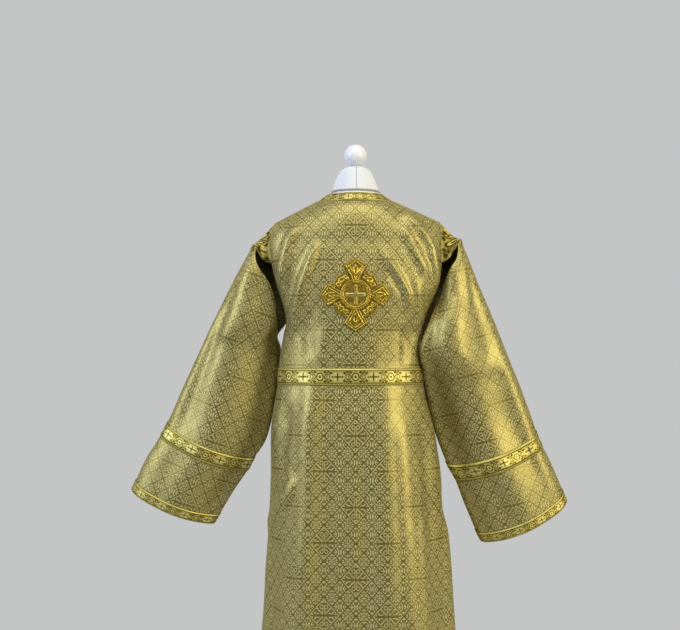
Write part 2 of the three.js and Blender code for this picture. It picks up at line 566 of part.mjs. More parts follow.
// The neck joins on inside the neckline, ring by ring, and ends flat under its cap.
const neckFrom = COLUMNS / 2 - NECK_COLUMN * (COLUMNS / 2);
const neckTo = COLUMNS - neckFrom;
const collarRow = formLayers.map((layer) => layer[layer.length - 1].slice(neckFrom, neckTo + 1));
const neckRing = [...collarRow[0], ...[...collarRow[1]].reverse().slice(1, -1), collarRow[0][0]];
const neckRow = (place) =>
  neckRing.map((_, i) => {
    const angle = (2 * Math.PI * i) / (neckRing.length - 1) - Math.PI / 2;
    return place(neckPoint(angle), new THREE.Vector3(Math.sin(angle), -Math.cos(angle), 0));
  });
const neckRings = [
  neckRing,
  neckRow(({ x, y, z }) => new THREE.Vector3(x * FORM_NECK.inside, y * FORM_NECK.inside, z - FORM_NECK.step)),
  neckRow((edge, out) => out.multiplyScalar(FORM_NECK.radius).setZ(edge.z + FORM_NECK.flare)),
  neckRow((edge, out) => out.multiplyScalar(FORM_NECK.topRadius).setZ(FORM_NECK.z)),
];
for (let j = 0; j < neckRings.length - 1; j++) {
  const [low, high] = [neckRings[j], neckRings[j + 1]];
  for (let i = 0; i < low.length - 1; i++) quad(formTriangles, low[i], low[i + 1], high[i + 1], high[i]);
}
const neckTop = new THREE.Vector3(0, 0, FORM_NECK.z);
const highest = neckRings[neckRings.length - 1];
for (let i = 0; i < highest.length - 1; i++) formTriangles.push(neckTop, highest[i], highest[i + 1]);
add("form_torso", weld(formTriangles), whiteCloth);

// ---------------------------------------------------------------- neck cap, knob and stand
function lathe(name, profile, segments, material) {
  const points = profile.map(([radius, z]) => new THREE.Vector2(radius, z));
  const geometry = new THREE.LatheGeometry(points, segments);
  geometry.rotateX(Math.PI / 2);
  add(name, geometry, material);
}
lathe("form_neck_cap", [[0, CAP[0][1]], ...CAP, [0, CAP[CAP.length - 1][1]]], 40, whiteCloth);

const knobProfile = Array.from({ length: KNOB.steps + 1 }, (_, i) => {
  const angle = (Math.PI * i) / KNOB.steps - Math.PI / 2;
  const radius = i % KNOB.steps ? KNOB.radius * Math.cos(angle) : 0;
  return [radius, KNOB.centreZ + KNOB.radius * Math.sin(angle)];
});
lathe("form_knob", knobProfile, KNOB.segments, whiteGloss);

const poleTop = BODY[FORM_ROW].z - GAP;
lathe("form_pole", [
  [0, POLE.bottomZ],
  [POLE.radius, POLE.bottomZ],
  [POLE.radius, poleTop],
  [0, poleTop],
], 28, steel);
lathe("form_socket", [
  [0, FOOT.crown + GAP],
  [SOCKET.collar, FOOT.crown + GAP],
  [SOCKET.radius, SOCKET.collarZ],
  [SOCKET.radius, SOCKET.topZ],
  [POLE.radius + GAP, SOCKET.topZ],
  [POLE.radius + GAP, POLE.bottomZ - GAP],
  [0, POLE.bottomZ - GAP],
], 28, steel);
lathe("form_foot", [
  [0, 0],
  [FOOT.radius, 0],
  [FOOT.radius, FOOT.edge],
  [FOOT.slopeRadius, FOOT.slopeZ],
  [FOOT.crownRadius, FOOT.crown],
  [0, FOOT.crown],
], 48, steel);

export default vestment;
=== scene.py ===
import bisect
import math

import bmesh
import bpy
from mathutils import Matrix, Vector, noise


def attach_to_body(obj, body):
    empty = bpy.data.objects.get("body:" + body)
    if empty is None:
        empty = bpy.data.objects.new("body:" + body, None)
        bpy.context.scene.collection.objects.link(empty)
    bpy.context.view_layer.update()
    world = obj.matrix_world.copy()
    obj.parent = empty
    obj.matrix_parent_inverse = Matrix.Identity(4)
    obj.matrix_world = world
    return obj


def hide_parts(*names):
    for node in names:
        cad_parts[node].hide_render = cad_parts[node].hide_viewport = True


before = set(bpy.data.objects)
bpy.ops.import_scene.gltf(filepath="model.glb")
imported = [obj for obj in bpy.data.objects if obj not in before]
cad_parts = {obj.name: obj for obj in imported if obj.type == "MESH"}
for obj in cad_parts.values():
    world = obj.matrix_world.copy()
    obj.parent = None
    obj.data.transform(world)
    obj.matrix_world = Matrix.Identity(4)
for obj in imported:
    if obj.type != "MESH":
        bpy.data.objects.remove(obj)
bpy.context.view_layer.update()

# ---------------------------------------------------------------- camera and light
# A level camera at chest height behind the wearer. A cool window lights from the left and a warm
# lamp from the right, with two weaker lights, one above and one on the far side.
FOCAL = 1194 / 680  # focal length over the width of the image
HORIZON = 35 / 680  # the level line lies this share of the width below the middle of the image
SENSOR = 36
CAMERA_AT = (-0.040, -3.100, 1.127)
ROOM_FAR = 0.66  # how bright the pale room is beyond the wearer, and on the camera's side
ROOM_BACK = 0.145


def linear(colour):
    """A colour written as an sRGB hex value, in linear light."""
    parts = [int(colour[i:i + 2], 16) / 255 for i in (1, 3, 5)]
    return tuple(c / 12.92 if c <= 0.04045 else ((c + 0.055) / 1.055) ** 2.4 for c in parts) + (1,)


def feed(tree, node, sources):
    """Feeds a node's inputs, by place or name, with values or with the sockets of other nodes."""
    for key, source in sources.items():
        if isinstance(source, bpy.types.NodeSocket):
            tree.links.new(source, node.inputs[key])
        else:
            node.inputs[key].default_value = source


def add_node(tree, kind, sources=(), out=0, **settings):
    """Adds a node with its settings and what feeds its inputs, and returns one of its outputs."""
    node = tree.nodes.new(kind)
    for name, value in settings.items():
        setattr(node, name, value)
    feed(tree, node, sources if isinstance(sources, dict) else dict(enumerate(sources)))
    return node.outputs[out] if len(node.outputs) else node


def placed(name, data):
    """A new object in the scene."""
    thing = bpy.data.objects.new(name, data)
    bpy.context.scene.collection.objects.link(thing)
    return thing


camera = placed("camera", bpy.data.cameras.new("camera"))
camera.location = CAMERA_AT
camera.rotation_euler = (math.pi / 2, 0, 0)
camera.data.sensor_width = SENSOR
camera.data.lens = SENSOR * FOCAL
camera.data.shift_y = HORIZON
camera.data.clip_end = 50
bpy.context.scene.camera = camera

world = bpy.data.worlds.new("studio")
bpy.context.scene.world = world
world.use_nodes = True
tree = world.node_tree
tree.nodes.clear()
way = add_node(tree, "ShaderNodeTexCoord", out=0)
way = add_node(tree, "ShaderNodeSeparateXYZ", (way,), out=1)
glow = add_node(tree, "ShaderNodeMapRange", {
    "Value": way, "From Min": -0.7, "From Max": 0.6, "To Min": ROOM_BACK, "To Max": ROOM_FAR})
sky = add_node(tree, "ShaderNodeBackground", {"Color": linear("#eceded"), "Strength": glow})
add_node(tree, "ShaderNodeOutputWorld", {"Surface": sky})
bpy.context.scene.view_settings.view_transform = "Standard"

LIGHTS = [
    # name, place, aimed at, width, height, watts, colour
    ("left_window", (-2.6, -1.4, 2.2), (0, 0, 1.3), 1.0, 1.8, 64, "#dde8ff"),
    ("right_lamp", (2.4, -1.65, 1.8), (0, 0, 1.0), 0.8, 1.5, 58, "#fff5d2"),
    ("ceiling", (0.1, -1.5, 3.3), (0, 0, 1.2), 2.2, 0.9, 38, "#fffaf0"),
    ("far_side", (0.4, 3.4, 2.6), (0, 0, 1.1), 1.8, 1.8, 8, "#f6f6ff"),
]
for name, place, aim, width, height, watts, colour in LIGHTS:
    lamp = bpy.data.lights.new(name, "AREA")
    lamp.shape = "RECTANGLE"
    lamp.size, lamp.size_y = width, height
    lamp.energy = watts
    lamp.color = linear(colour)[:3]
    stand = placed(name, lamp)
    stand.location = place
    stand.rotation_euler = (Vector(aim) - Vector(place)).to_track_quat("-Z", "Y").to_euler()

# ---------------------------------------------------------------- floor
# The floor that the stand rests on: a plain pale disc in matt floor paint, rolled on, which is a
# little uneven in tone.
FLOOR_RADIUS = 1.6


def new_material(name):
    """An empty Principled material, with its tree and its shader."""
    material = bpy.data.materials.new(name)
    material.use_nodes = True
    tree = material.node_tree
    tree.nodes.clear()
    shader = tree.nodes.new("ShaderNodeBsdfPrincipled")
    add_node(tree, "ShaderNodeOutputMaterial", {"Surface": shader.outputs[0]})
    return material, tree, shader


def add_sum(kind, sources, out=0, **settings):
    """Adds a node to the tree of the first socket among its sources."""
    values = sources.values() if isinstance(sources, dict) else sources
    tree = next(value.id_data for value in values if isinstance(value, bpy.types.NodeSocket))
    return add_node(tree, kind, sources, out, **settings)


def blend(share, low, high, **settings):
    """A colour that goes from low to high as share goes from 0 to 1."""
    return add_sum("ShaderNodeMix", {0: share, 6: low, 7: high}, 2, data_type="RGBA", **settings)


def mottle(tree, scale, detail, low, high):
    """Object coordinates, a noise in them, and the tone that it makes between two colours."""
    place = add_node(tree, "ShaderNodeTexCoord", out=3)
    cloud = add_node(tree, "ShaderNodeTexNoise", {"Vector": place, "Scale": scale, "Detail": detail})
    return place, cloud, blend(cloud, linear(low), linear(high))


def mesh_piece(name, mesh, material, smooth=True):
    """Turns a mesh into a piece with one material."""
    mesh.materials.clear()
    mesh.materials.append(material)
    for face in mesh.polygons:
        face.use_smooth = smooth
    return placed(name, mesh)


def new_piece(name, shape, material, smooth=True):
    """Turns a bmesh into a piece with one material."""
    mesh = bpy.data.meshes.new(name)
    shape.normal_update()
    shape.to_mesh(mesh)
    shape.free()
    return mesh_piece(name, mesh, material, smooth)


floor_paint, tree, shader = new_material("matt floor paint")
feed(tree, shader, {"Base Color": mottle(tree, 6, 3, "#c9cacd", "#cfd0d2")[2], "Roughness": 0.85})
shape = bmesh.new()
bmesh.ops.create_circle(shape, cap_ends=True, segments=96, radius=FLOOR_RADIUS)
floor = new_piece("floor", shape, floor_paint, smooth=False)

# ---------------------------------------------------------------- foot, socket and pole
# A round foot, a socket and a pole of brushed steel. The foot and the socket are turned, the pole
# is drawn tube, and the socket is screwed to the foot.
STEEL_TURNED = [
    # piece, radius and height of each corner from the lowest up, in millimetres
    ("foot_turned", "form_foot", [
        (0, 0), (193, 0), (195, 2), (195, 8), (192.5, 11), (187, 14.6), (53, 22), (0, 22)]),
    ("socket_turned", "form_socket", [
        (0, 53.7), (15.4, 53.7), (15.4, 69.4), (16, 70), (25.5, 70), (27, 68.5), (27, 33), (28.5, 30),
        (33, 27), (33, 22.4), (0, 22.4)]),
    ("pole_tube", "form_pole", [
        (0, 54), (14.6, 54), (15, 54.6), (15, 869), (14.6, 869.7), (0, 869.7)]),
]
TURN_STEPS = 96
TURNED_EDGE = math.radians(34)  # a corner sharper than this shows as an edge


def spun(outline, closed=False):
    """A shape spun round the upright axis; outline holds radius and height in millimetres."""
    shape = bmesh.new()
    corners = [shape.verts.new((radius / 1000, 0, z / 1000)) for radius, z in outline]
    ends = corners[1:] + (corners[:1] if closed else [])
    edges = [shape.edges.new(pair) for pair in zip(corners, ends)]
    bmesh.ops.spin(shape, geom=corners + edges, cent=(0, 0, 0), axis=(0, 0, 1), angle=2 * math.pi,
                   steps=TURN_STEPS, use_merge=True)
    bmesh.ops.remove_doubles(shape, verts=shape.verts, dist=1e-6)
    bmesh.ops.recalc_face_normals(shape, faces=shape.faces)
    return shape


def turned(name, outline, material):
    """A turned piece; its outline runs from its lower middle to its upper."""
    piece = new_piece(name, spun(outline), material)
    piece.data.set_sharp_from_angle(angle=TURNED_EDGE)
    return piece


def attach(piece, node):
    """Lets a piece ride on the body in the place of a solid, and hides the solid."""
    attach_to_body(piece, "root")
    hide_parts(node)


def bump(height, strength, distance):
    """The relief of a height, which counts as distance metres where it is 1."""
    return add_sum("ShaderNodeBump", {"Height": height, "Strength": strength, "Distance": distance})


# Brushed stainless steel: round brush marks that stretch the highlights. They are far finer than
# a tenth of a millimetre, and are drawn 3.5 mm apart so that they show.
steel, tree, shader = new_material("brushed stainless steel")
place, cloud, tone = mottle(tree, 35, 4, "#a9abad", "#c6c7c8")
brushed = add_node(tree, "ShaderNodeTexWave", {"Vector": place, "Scale": 90, "Distortion": 1.5, "Detail": 3},
                   wave_type="RINGS", rings_direction="Z")
rough = add_node(tree, "ShaderNodeMapRange", {"Value": cloud, "To Min": 0.26, "To Max": 0.38})
feed(tree, shader, {
    "Base Color": tone, "Metallic": 1, "Roughness": rough, "Normal": bump(brushed, 0.15, 0.0002)})

for name, node, outline in STEEL_TURNED:
    attach(turned(name, outline, steel), node)

# ---------------------------------------------------------------- torso
# The limbless torso is a foam body, padded and covered in white cotton jersey, which sits on the
# pole. It follows its solid, smoothed.
TORSO_EDGE = math.radians(50)  # a corner sharper than this shows as an edge

jersey, tree, shader = new_material("white cotton jersey")
place, _, tone = mottle(tree, 9, 4, "#cbcfd4", "#d9dde2")
# Knit ribs of half a millimetre are too fine to show, so they are drawn 5 mm apart.
knit = add_node(tree, "ShaderNodeTexWave", {"Vector": place, "Scale": 64, "Distortion": 2, "Detail": 2},
                wave_type="BANDS", bands_direction="Z")
feed(tree, shader, {
    "Base Color": tone, "Roughness": 0.9, "Sheen Weight": 0.3, "Normal": bump(knit, 0.2, 0.0004)})

shape = bmesh.new()
shape.from_mesh(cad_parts["form_torso"].data)
bmesh.ops.remove_doubles(shape, verts=shape.verts, dist=1e-5)
torso = new_piece("torso_padded", shape, jersey)
torso.data.set_sharp_from_angle(angle=TORSO_EDGE)
attach(torso, "form_torso")

# ---------------------------------------------------------------- neck cap and knob
# The neck cap is a domed plug covered in white cloth in two halves, with a seam down its middle
# and a grey binding where it meets the neck. A turned, lacquered ball screws into its top.
CAP_OUTLINE = [
    (0, 1532.8), (61.2, 1532.8), (62, 1533.6), (61.6, 1536), (60.4, 1541), (57, 1551.5), (52.2, 1564),
    (47, 1576), (43, 1584), (39.5, 1589.5), (34.5, 1594.5), (28, 1598.3),
    (22, 1600.5), (17, 1601.6), (0, 1601.7),
]
CAP_SEAM_X = 2  # beside the middle, as the cover is turned a little
CAP_SEAM_RADIUS = 0.0007
CAP_SEAM_SINK = 0.1
CAP_BAND = [(60.6, 1532.9), (62.3, 1532.9), (62.6, 1534.2), (62.5, 1537.4), (61.6, 1538.6), (60.4, 1538.2)]
BALL_RADIUS = 29
BALL_Z = 1631

attach(turned("neck_cap_covered", CAP_OUTLINE, jersey), "form_neck_cap")

binding, tree, shader = new_material("grey cotton binding")
feed(tree, shader, {"Base Color": mottle(tree, 300, 3, "#7c7a76", "#a5a39f")[2], "Roughness": 0.9})
band = new_piece("neck_cap_binding", spun(CAP_BAND, closed=True), binding)
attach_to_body(band, "root")


def tube(name, points, radius, material):
    """A thin cord along points, in metres, made of a circle swept from one to the next."""
    curve = bpy.data.curves.new(name, "CURVE")
    curve.dimensions = "3D"
    spline = curve.splines.new("POLY")
    spline.points.add(len(points) - 1)
    for spot, point in zip(spline.points, points):
        spot.co = (*point, 1)
    curve.bevel_depth = radius
    curve.bevel_resolution = 1
    curve.use_fill_caps = True
    holder = placed(name + "_path", curve)
    mesh = bpy.data.meshes.new_from_object(holder.evaluated_get(bpy.context.evaluated_depsgraph_get()))
    bpy.data.objects.remove(holder)
    bpy.data.curves.remove(curve)
    mesh.name = name
    return mesh_piece(name, mesh, material)


for number, side in enumerate((-1, 1)):
    seam_points = []
    for radius, z in CAP_OUTLINE[3:-2]:
        depth = math.sqrt(radius ** 2 - CAP_SEAM_X ** 2) - CAP_SEAM_SINK
        seam_points.append((CAP_SEAM_X / 1000, side * depth / 1000, z / 1000))
    seam = tube(f"neck_cap_seam_{number + 1}", seam_points, CAP_SEAM_RADIUS, binding)
    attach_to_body(seam, "root")

lacquer, tree, shader = new_material("white satin lacquer on beech")
feed(tree, shader, {"Base Color": mottle(tree, 40, 3, "#d6dbe2", "#dfe3ea")[2], "Roughness": 0.34})
shape = bmesh.new()
bmesh.ops.create_uvsphere(shape, u_segments=64, v_segments=32, radius=BALL_RADIUS / 1000)
bmesh.ops.translate(shape, verts=shape.verts, vec=(0, 0, BALL_Z / 1000))
attach(new_piece("knob_turned", shape, lacquer), "form_knob")

# ---------------------------------------------------------------- brocade
# Gold brocade: a silk ground with flat metal threads, woven in a jacquard of diamonds. One in four
# of the diamonds holds a cross with rays and curls, and the rest are cut into four small ones with
# leaves round a stem. The metal threads catch the light, the silk stays matt.
DIAMOND_WIDE = 80
DIAMOND_HIGH = 88
MOTIF_AT = (0, 1.265)  # a motif's middle, as across and height in metres
ROOT_TWO = math.sqrt(2)


def calc(operation, *values):
    """A sum on numbers."""
    return add_sum("ShaderNodeMath", values, operation=operation)


def vector_calc(operation, *values):
    """A sum on vectors, which gives a vector or, for a length or a product, a number."""
    out = 1 if operation in ("LENGTH", "DOT_PRODUCT") else 0
    return add_sum("ShaderNodeVectorMath", values, out, operation=operation)


def across_and_up(place):
    """The first two parts of a vector."""
    split = add_sum("ShaderNodeSeparateXYZ", (place,)).node
    return split.outputs[0], split.outputs[1]


def diamond_places(inside, wide, high):
    """From the place inside a diamond: its distance from the middle to the edge, 0 to 0.5, and
    the distances across and up from its middle, in millimetres."""
    edge = calc("MAXIMUM", *across_and_up(vector_calc("ABSOLUTE", inside)))
    upright = add_sum("ShaderNodeMapping", {"Vector": inside, "Rotation": (0, 0, math.pi / 4)})
    upright = vector_calc("MULTIPLY", upright, (wide / ROOT_TWO, high / ROOT_TWO, 0))
    upright = vector_calc("ABSOLUTE", upright)
    return edge, upright, *across_and_up(upright)


def either(*marks):
    """The strongest of several marks."""
    total = marks[0]
    for mark in marks[1:]:
        total = calc("MAXIMUM", total, mark)
    return total


def bar(across, width, along, end):
    """A thin bar: 1 where across is under width and along under end."""
    thin = calc("LESS_THAN", across, width)
    short = calc("LESS_THAN", along, end)
    return calc("MULTIPLY", thin, short)


def loops(place, rows):
    """Rings and dots. Each row holds a middle, two radii, and the size and the width of the ring:
    the mark is 1 where the oval distance from the middle is within the width of the size."""
    marks = []
    for middle, radii, size, width in rows:
        away = vector_calc("SUBTRACT", place, (*middle, 0))
        away = vector_calc("DIVIDE", away, (*radii, 1))
        away = vector_calc("LENGTH", away)
        marks.append(calc("COMPARE", away, size, width))
    return marks


def colour_ramp(share, stops):
    """A colour for a share, between stops of a place and a colour."""
    node = add_sum("ShaderNodeValToRGB", (share,)).node
    ramp = node.color_ramp.elements
    for stop, (at, colour) in zip(ramp, (stops[0], stops[-1])):
        stop.position = at
        stop.color = linear(colour)
    for at, colour in stops[1:-1]:
        ramp.new(at).color = linear(colour)
    return node.outputs[0]


brocade, tree, shader = new_material("gold silk brocade, jacquard woven")
uv = add_node(tree, "ShaderNodeUVMap", uv_map="cloth")
# across + up and up - across, counted in diamonds
diagonal = vector_calc("SUBTRACT", uv, (*MOTIF_AT, 0))
diagonal = add_node(tree, "ShaderNodeMapping", {
    "Vector": diagonal, "Rotation": (0, 0, -math.pi / 4),
    "Scale": (1000 * ROOT_TWO / DIAMOND_WIDE, 1000 * ROOT_TWO / DIAMOND_HIGH, 1)})
# The place inside one diamond, and which of the four in a repeat it is.
inside = vector_calc("WRAP", diagonal, (0.5, 0.5, 1), (-0.5, -0.5, 0))
cell = vector_calc("SUBTRACT", diagonal, inside)
cell = vector_calc("WRAP", cell, (1.5, 1.5, 1), (-0.5, -0.5, 0))
is_motif = calc("LESS_THAN", vector_calc("LENGTH", cell), 0.5)

# The large diamonds with the cross. Lines are 1.2 mm, drawn up to 2 mm so that they show.
edge, upright, across, up = diamond_places(inside, DIAMOND_WIDE, DIAMOND_HIGH)
slope = calc("ABSOLUTE", calc("SUBTRACT", across, up))
reach = vector_calc("LENGTH", upright)
ray = calc("COMPARE", slope, 1.4, 0.95)
ray = calc("MULTIPLY", ray, calc("COMPARE", reach, 14.5, 10.5))
motif_light = either(calc("COMPARE", edge, 0.454, 0.017), ray, *loops(upright, [
    ((5.6, 21), (4.4, 4.6), 0.94, 0.22),
    ((2.2, 12), (1.0, 8), 0.5, 0.5),
    ((17, 4.6), (6, 1.3), 0.5, 0.5),
    ((22.5, 7.4), (2.6, 1.7), 0.5, 0.5),
    ((0, 33), (4, 2.6), 1, 0.3),
    ((29, 3.4), (2, 1.6), 0.4, 0.6),
    ((17, 17), (1.8, 1.8), 0.4, 0.6),
]))
outline = calc("GREATER_THAN", edge, 0.489)
motif_dark = either(outline, bar(across, 0.55, up, 27), bar(up, 0.6, across, 35),
                    *loops(upright, [((0, 26), (2.6, 2.6), 0.5, 0.5)]))

# The small diamonds, four in a large one. The upper and lower hold a bud split by its stem, the
# side ones a star of four leaves.
counted = vector_calc("MULTIPLY", diagonal, (2, 2, 0))
small = vector_calc("WRAP", counted, (1, 1, 1), (0, 0, 0))
counted = vector_calc("SUBTRACT", counted, small)
counted = vector_calc("DOT_PRODUCT", counted, (1, 1, 0))
by_turns = calc("PINGPONG", counted, 1)
small = vector_calc("SUBTRACT", small, (0.5, 0.5, 0))
edge, upright, across, up = diamond_places(small, DIAMOND_WIDE / 2, DIAMOND_HIGH / 2)
bud = either(*loops(upright, [
    ((2.9, 0), (2.0, 7.0), 0.5, 0.5),
    ((0, 14.6), (2.3, 3.2), 0.45, 0.55),
    ((9.6, 0), (2.0, 3.6), 0.5, 0.5),
    ((6.6, 9.2), (1.8, 2.6), 0.45, 0.55),
    ((14.4, 0), (1.5, 1.5), 0.4, 0.6),
    ((11.6, 5.4), (1.3, 1.6), 0.4, 0.6),
    ((3.6, 14.4), (1.2, 1.4), 0.4, 0.6),
]))
star = either(bar(across, 0.8, up, 12), bar(up, 0.8, across, 6), *loops(upright, [
    ((5.4, 6.2), (2.2, 3.4), 0.7, 0.32),
    ((0, 15.4), (2.6, 2.0), 0.5, 0.5),
    ((11.6, 2.6), (2.6, 1.7), 0.5, 0.5),
    ((4.2, 13.6), (1.4, 1.6), 0.4, 0.6),
    ((9.2, 8.2), (1.4, 1.6), 0.4, 0.6),
]))
small_light = add_sum("ShaderNodeMix", {0: by_turns, 2: bud, 3: star})
small_dark = either(calc("GREATER_THAN", edge, 0.4815), bar(across, 0.8, up, 8))

light = add_sum("ShaderNodeMix", {0: is_motif, 2: small_light, 3: motif_light})
dark = add_sum("ShaderNodeMix", {0: is_motif, 2: small_dark, 3: motif_dark})
dark = calc("MAXIMUM", calc("SUBTRACT", dark, light), 0)
dark = calc("MULTIPLY_ADD", is_motif, 0.22, dark)
figure = calc("MULTIPLY_ADD", dark, -0.42, light)

# The threads lie 0.4 mm apart. Their glint is a painted highlight in the colour, drawn as lighter and darker
# grains of 2 mm so that it shows, and the same grains shape the bump.
grain_and_glint = add_node(tree, "ShaderNodeTexNoise", {"Vector": uv, "Scale": 420, "Detail": 2, "Roughness": 0.7})
grain_and_glint = add_node(tree, "ShaderNodeMapRange", {
    "Value": grain_and_glint, "From Min": 0.25, "From Max": 0.75, "To Min": -0.5, "To Max": 0.5})
weight = calc("MULTIPLY_ADD", figure, 0.36, 0.30)
weight = calc("MULTIPLY_ADD", grain_and_glint, 0.46, weight)
tone = colour_ramp(weight, [(0.10, "#716938"), (0.48, "#aea671"), (0.90, "#e2dcb8")])
cloud = add_node(tree, "ShaderNodeTexNoise", {"Vector": uv, "Scale": 7, "Detail": 2})
tint = blend(cloud, linear("#f2f4e2"), linear("#fff4d8"))
relief = calc("MULTIPLY_ADD", grain_and_glint, 0.8, figure)
# The metal of the ground gleams, the silk of the figure is nearly matt, so that the pattern is
# strong where the cloth turns away from the light and goes out where it gleams.
feed(tree, shader, {
    "Base Color": blend(1, tone, tint, blend_type="MULTIPLY"),
    "Metallic": calc("MULTIPLY_ADD", light, -0.35, 0.75),
    "Roughness": calc("MULTIPLY_ADD", light, 0.1, 0.43),
    "Specular Tint": linear("#d6c994"),
    "Normal": bump(relief, 0.4, 0.0005),
})

# ---------------------------------------------------------------- back and front panels
# Each is one length of brocade from the shoulder seam to the hem, interlined, 2 mm with its seam
# allowances. They meet in the side seams under the arms and in the shoulder seams.
CLOTH = 0.002  # metres; the tables and the sizes below are in millimetres
GAP = 0.3
BODY = [
    # height, left, right, back, front, edge of the back panel, edge of the front panel
    (95, -290, 288, -212, 214, 5, 5),
    (240, -266, 274, -196, 199, 5, 5),
    (400, -241, 259, -180, 184, 5, 5),
    (574, -232, 248, -164, 168, 5, 5),
    (657, -226, 240, -156, 160, 5, 5),
    (717, -223, 226, -150, 153, 5, 5),
    (800, -220, 222, -142, 145, 5, 5),
    (870, -220, 213, -135, 137, 5, 5),
    (925, -219, 204, -130, 131, 5, 5),
    (987, -211, 187, -123, 123, 5, 5),
    (1038, -202, 176, -117, 116, 5, 5),
    (1081, -200, 175, -115, 113, 5, 5),
    (1170, -186, 176, -117, 115, 5, 5),
    (1200, -178, 178, -118, 117, -22, 24),
    (1240, -184, 190, -120, 118, -32, 34),
    (1285, -198, 208, -121, 118, -39, 38),
    (1330, -210, 217, -120, 115, -42, 40),
    (1370, -217, 219, -116, 109, -40, 38),
    (1402, -220, 219, -110, 101, -32, 30),
]
BODY_BOW = 0.85  # under 1 makes the round of the body fuller towards its sides
BLADES_Z = 1402
RISE = 112  # how far the shoulder part runs on above the blades, as a count of height
TOP_COUNT = BLADES_Z + RISE
SHOULDER_TIPS = {-1: (-204, 1457), 1: (217, 1459)}
NECK_Z = 1514
NECK_HALF = 94
NECK_BACK = (78, 8)  # how far it reaches from the middle, and how far it dips
NECK_FRONT = (80, 40)
NECK_SHARE = 1 / 3  # of a panel's half, that its neckline takes
FLUTES = [
    # angle round the body from the centre back at the waist and at the hem, half-width, depth at
    # the hem, and the height where the flute starts
    (-46, -40, 17, 20, 1035), (-75, -68, 15, -14, 960), (-14, -12, 17, -12, 900), (12, 10, 14, 7, 760),
    (42, 36, 17, 19, 1035), (68, 64, 14, -13, 960), (100, 104, 18, 12, 900), (128, 132, 16, -14, 960),
    (150, 154, 15, 17, 1000), (180, 178, 16, -12, 900), (-150, -153, 16, 18, 1000),
    (-126, -129, 14, -13, 940), (-103, -100, 17, 11, 880),
]


def between(rows, at):
    """A smooth curve through the rows of a table whose first column is at."""
    keys = [row[0] for row in rows]
    i = min(max(bisect.bisect_right(keys, at) - 1, 0), len(rows) - 2)
    low, high = rows[i], rows[i + 1]
    step = high[0] - low[0]
    t = (at - low[0]) / step
    before, after = rows[max(i - 1, 0)], rows[min(i + 2, len(rows) - 1)]
    values = []
    for k in range(1, len(low)):
        rise_low = (high[k] - before[k]) / (high[0] - before[0]) * step
        rise_high = (after[k] - low[k]) / (after[0] - low[0]) * step
        values.append((2 * t ** 3 - 3 * t ** 2 + 1) * low[k] + (t ** 3 - 2 * t ** 2 + t) * rise_low
                      + (3 * t ** 2 - 2 * t ** 3) * high[k] + (t ** 3 - t ** 2) * rise_high)
    return values


def swell(off, half):
    """A soft hump: 1 in its middle, 0 at half and beyond."""
    return math.cos(off / half * math.pi / 2) ** 2 if abs(off) < half else 0


def section_point(z, section, side, s):
    """side is -1 for the back and 1 for the front, s runs from -1 at the left to 1."""
    left, right, back, front, edge_back, edge_front = section
    sine = math.sin(s * math.pi / 2)
    cosine = max(math.cos(s * math.pi / 2), 0) ** BODY_BOW
    angle = s * 90 if side < 0 else 180 - s * 90
    out = 0
    for at_waist, at_hem, half, depth, start in FLUTES:
        if z < start:
            fallen = (start - z) / (start - BODY[0][0])
            off = (angle - at_waist - (at_hem - at_waist) * fallen + 540) % 360 - 180
            out += depth * fallen * swell(off, half)
    edge = edge_back - GAP / 2 if side < 0 else edge_front + GAP / 2
    middle = back if side < 0 else front
    return Vector((
        (left + right) / 2 + ((right - left) / 2 + out) * sine,
        edge + (middle - edge) * cosine + side * out * cosine,
        z,
    ))


def round_neck(angle):
    """How far an angle from the centre back points forward and backward, each 0 to 1."""
    return max(-math.cos(angle), 0), max(math.cos(angle), 0)


def neck_point(angle):
    """The neckline, by the angle from the centre back."""
    forward, backward = round_neck(angle)
    return Vector((
        NECK_HALF * math.sin(angle),
        NECK_FRONT[0] * forward - NECK_BACK[0] * backward,
        NECK_Z - NECK_BACK[1] * backward - NECK_FRONT[1] * forward,
    ))


def top_point(side, s):
    """The upper edge of a panel: the shoulder seams and the neckline."""
    if abs(s) < NECK_SHARE:
        angle = s / NECK_SHARE * math.pi / 2
        return neck_point(angle if side < 0 else math.pi - angle)
    start = math.sin(NECK_SHARE * math.pi / 2)
    along = (abs(math.sin(s * math.pi / 2)) - start) / (1 - start)
    tip_x, tip_z = SHOULDER_TIPS[-1 if s < 0 else 1]
    neck_x = math.copysign(NECK_HALF, s)
    return Vector((neck_x + (tip_x - neck_x) * along, side * GAP / 2, NECK_Z + (tip_z - NECK_Z) * along))


def panel_point(side, s, height):
    """height is the real one up to the blades, and runs on to TOP_COUNT at the seams."""
    if height <= BLADES_Z:
        return section_point(height, between(BODY, height), side, s)
    t = (height - BLADES_Z) / RISE
    blade = section_point(BLADES_Z, BODY[-1][1:], side, s)
    top = top_point(side, s)
    forward, upward = 1 - math.cos(t * math.pi / 2), math.sin(t * math.pi / 2)
    return Vector((
        blade.x + (top.x - blade.x) * t,
        blade.y + (top.y - blade.y) * forward,
        blade.z + (top.z - blade.z) * upward,
    ))


FADE = 0.3  # the share of a crease's length over which it fades at each end


def crease(x, z, path, half, height):
    """A soft ridge, or a trough where height is under 0, along a path, fading to its ends."""
    best = 0
    spans = len(path) - 1
    for i in range(spans):
        (ax, az), (bx, bz) = path[i], path[i + 1]
        run = (bx - ax) ** 2 + (bz - az) ** 2
        t = min(max(((x - ax) * (bx - ax) + (z - az) * (bz - az)) / run, 0), 1)
        off = math.hypot(x - ax - (bx - ax) * t, z - az - (bz - az) * t)
        if off < half:
            along = (i + t) / spans
            fade = min(1, along / FADE, (1 - along) / FADE)
            best = max(best, fade * fade * (3 - 2 * fade) * swell(off, half))
    return best * height


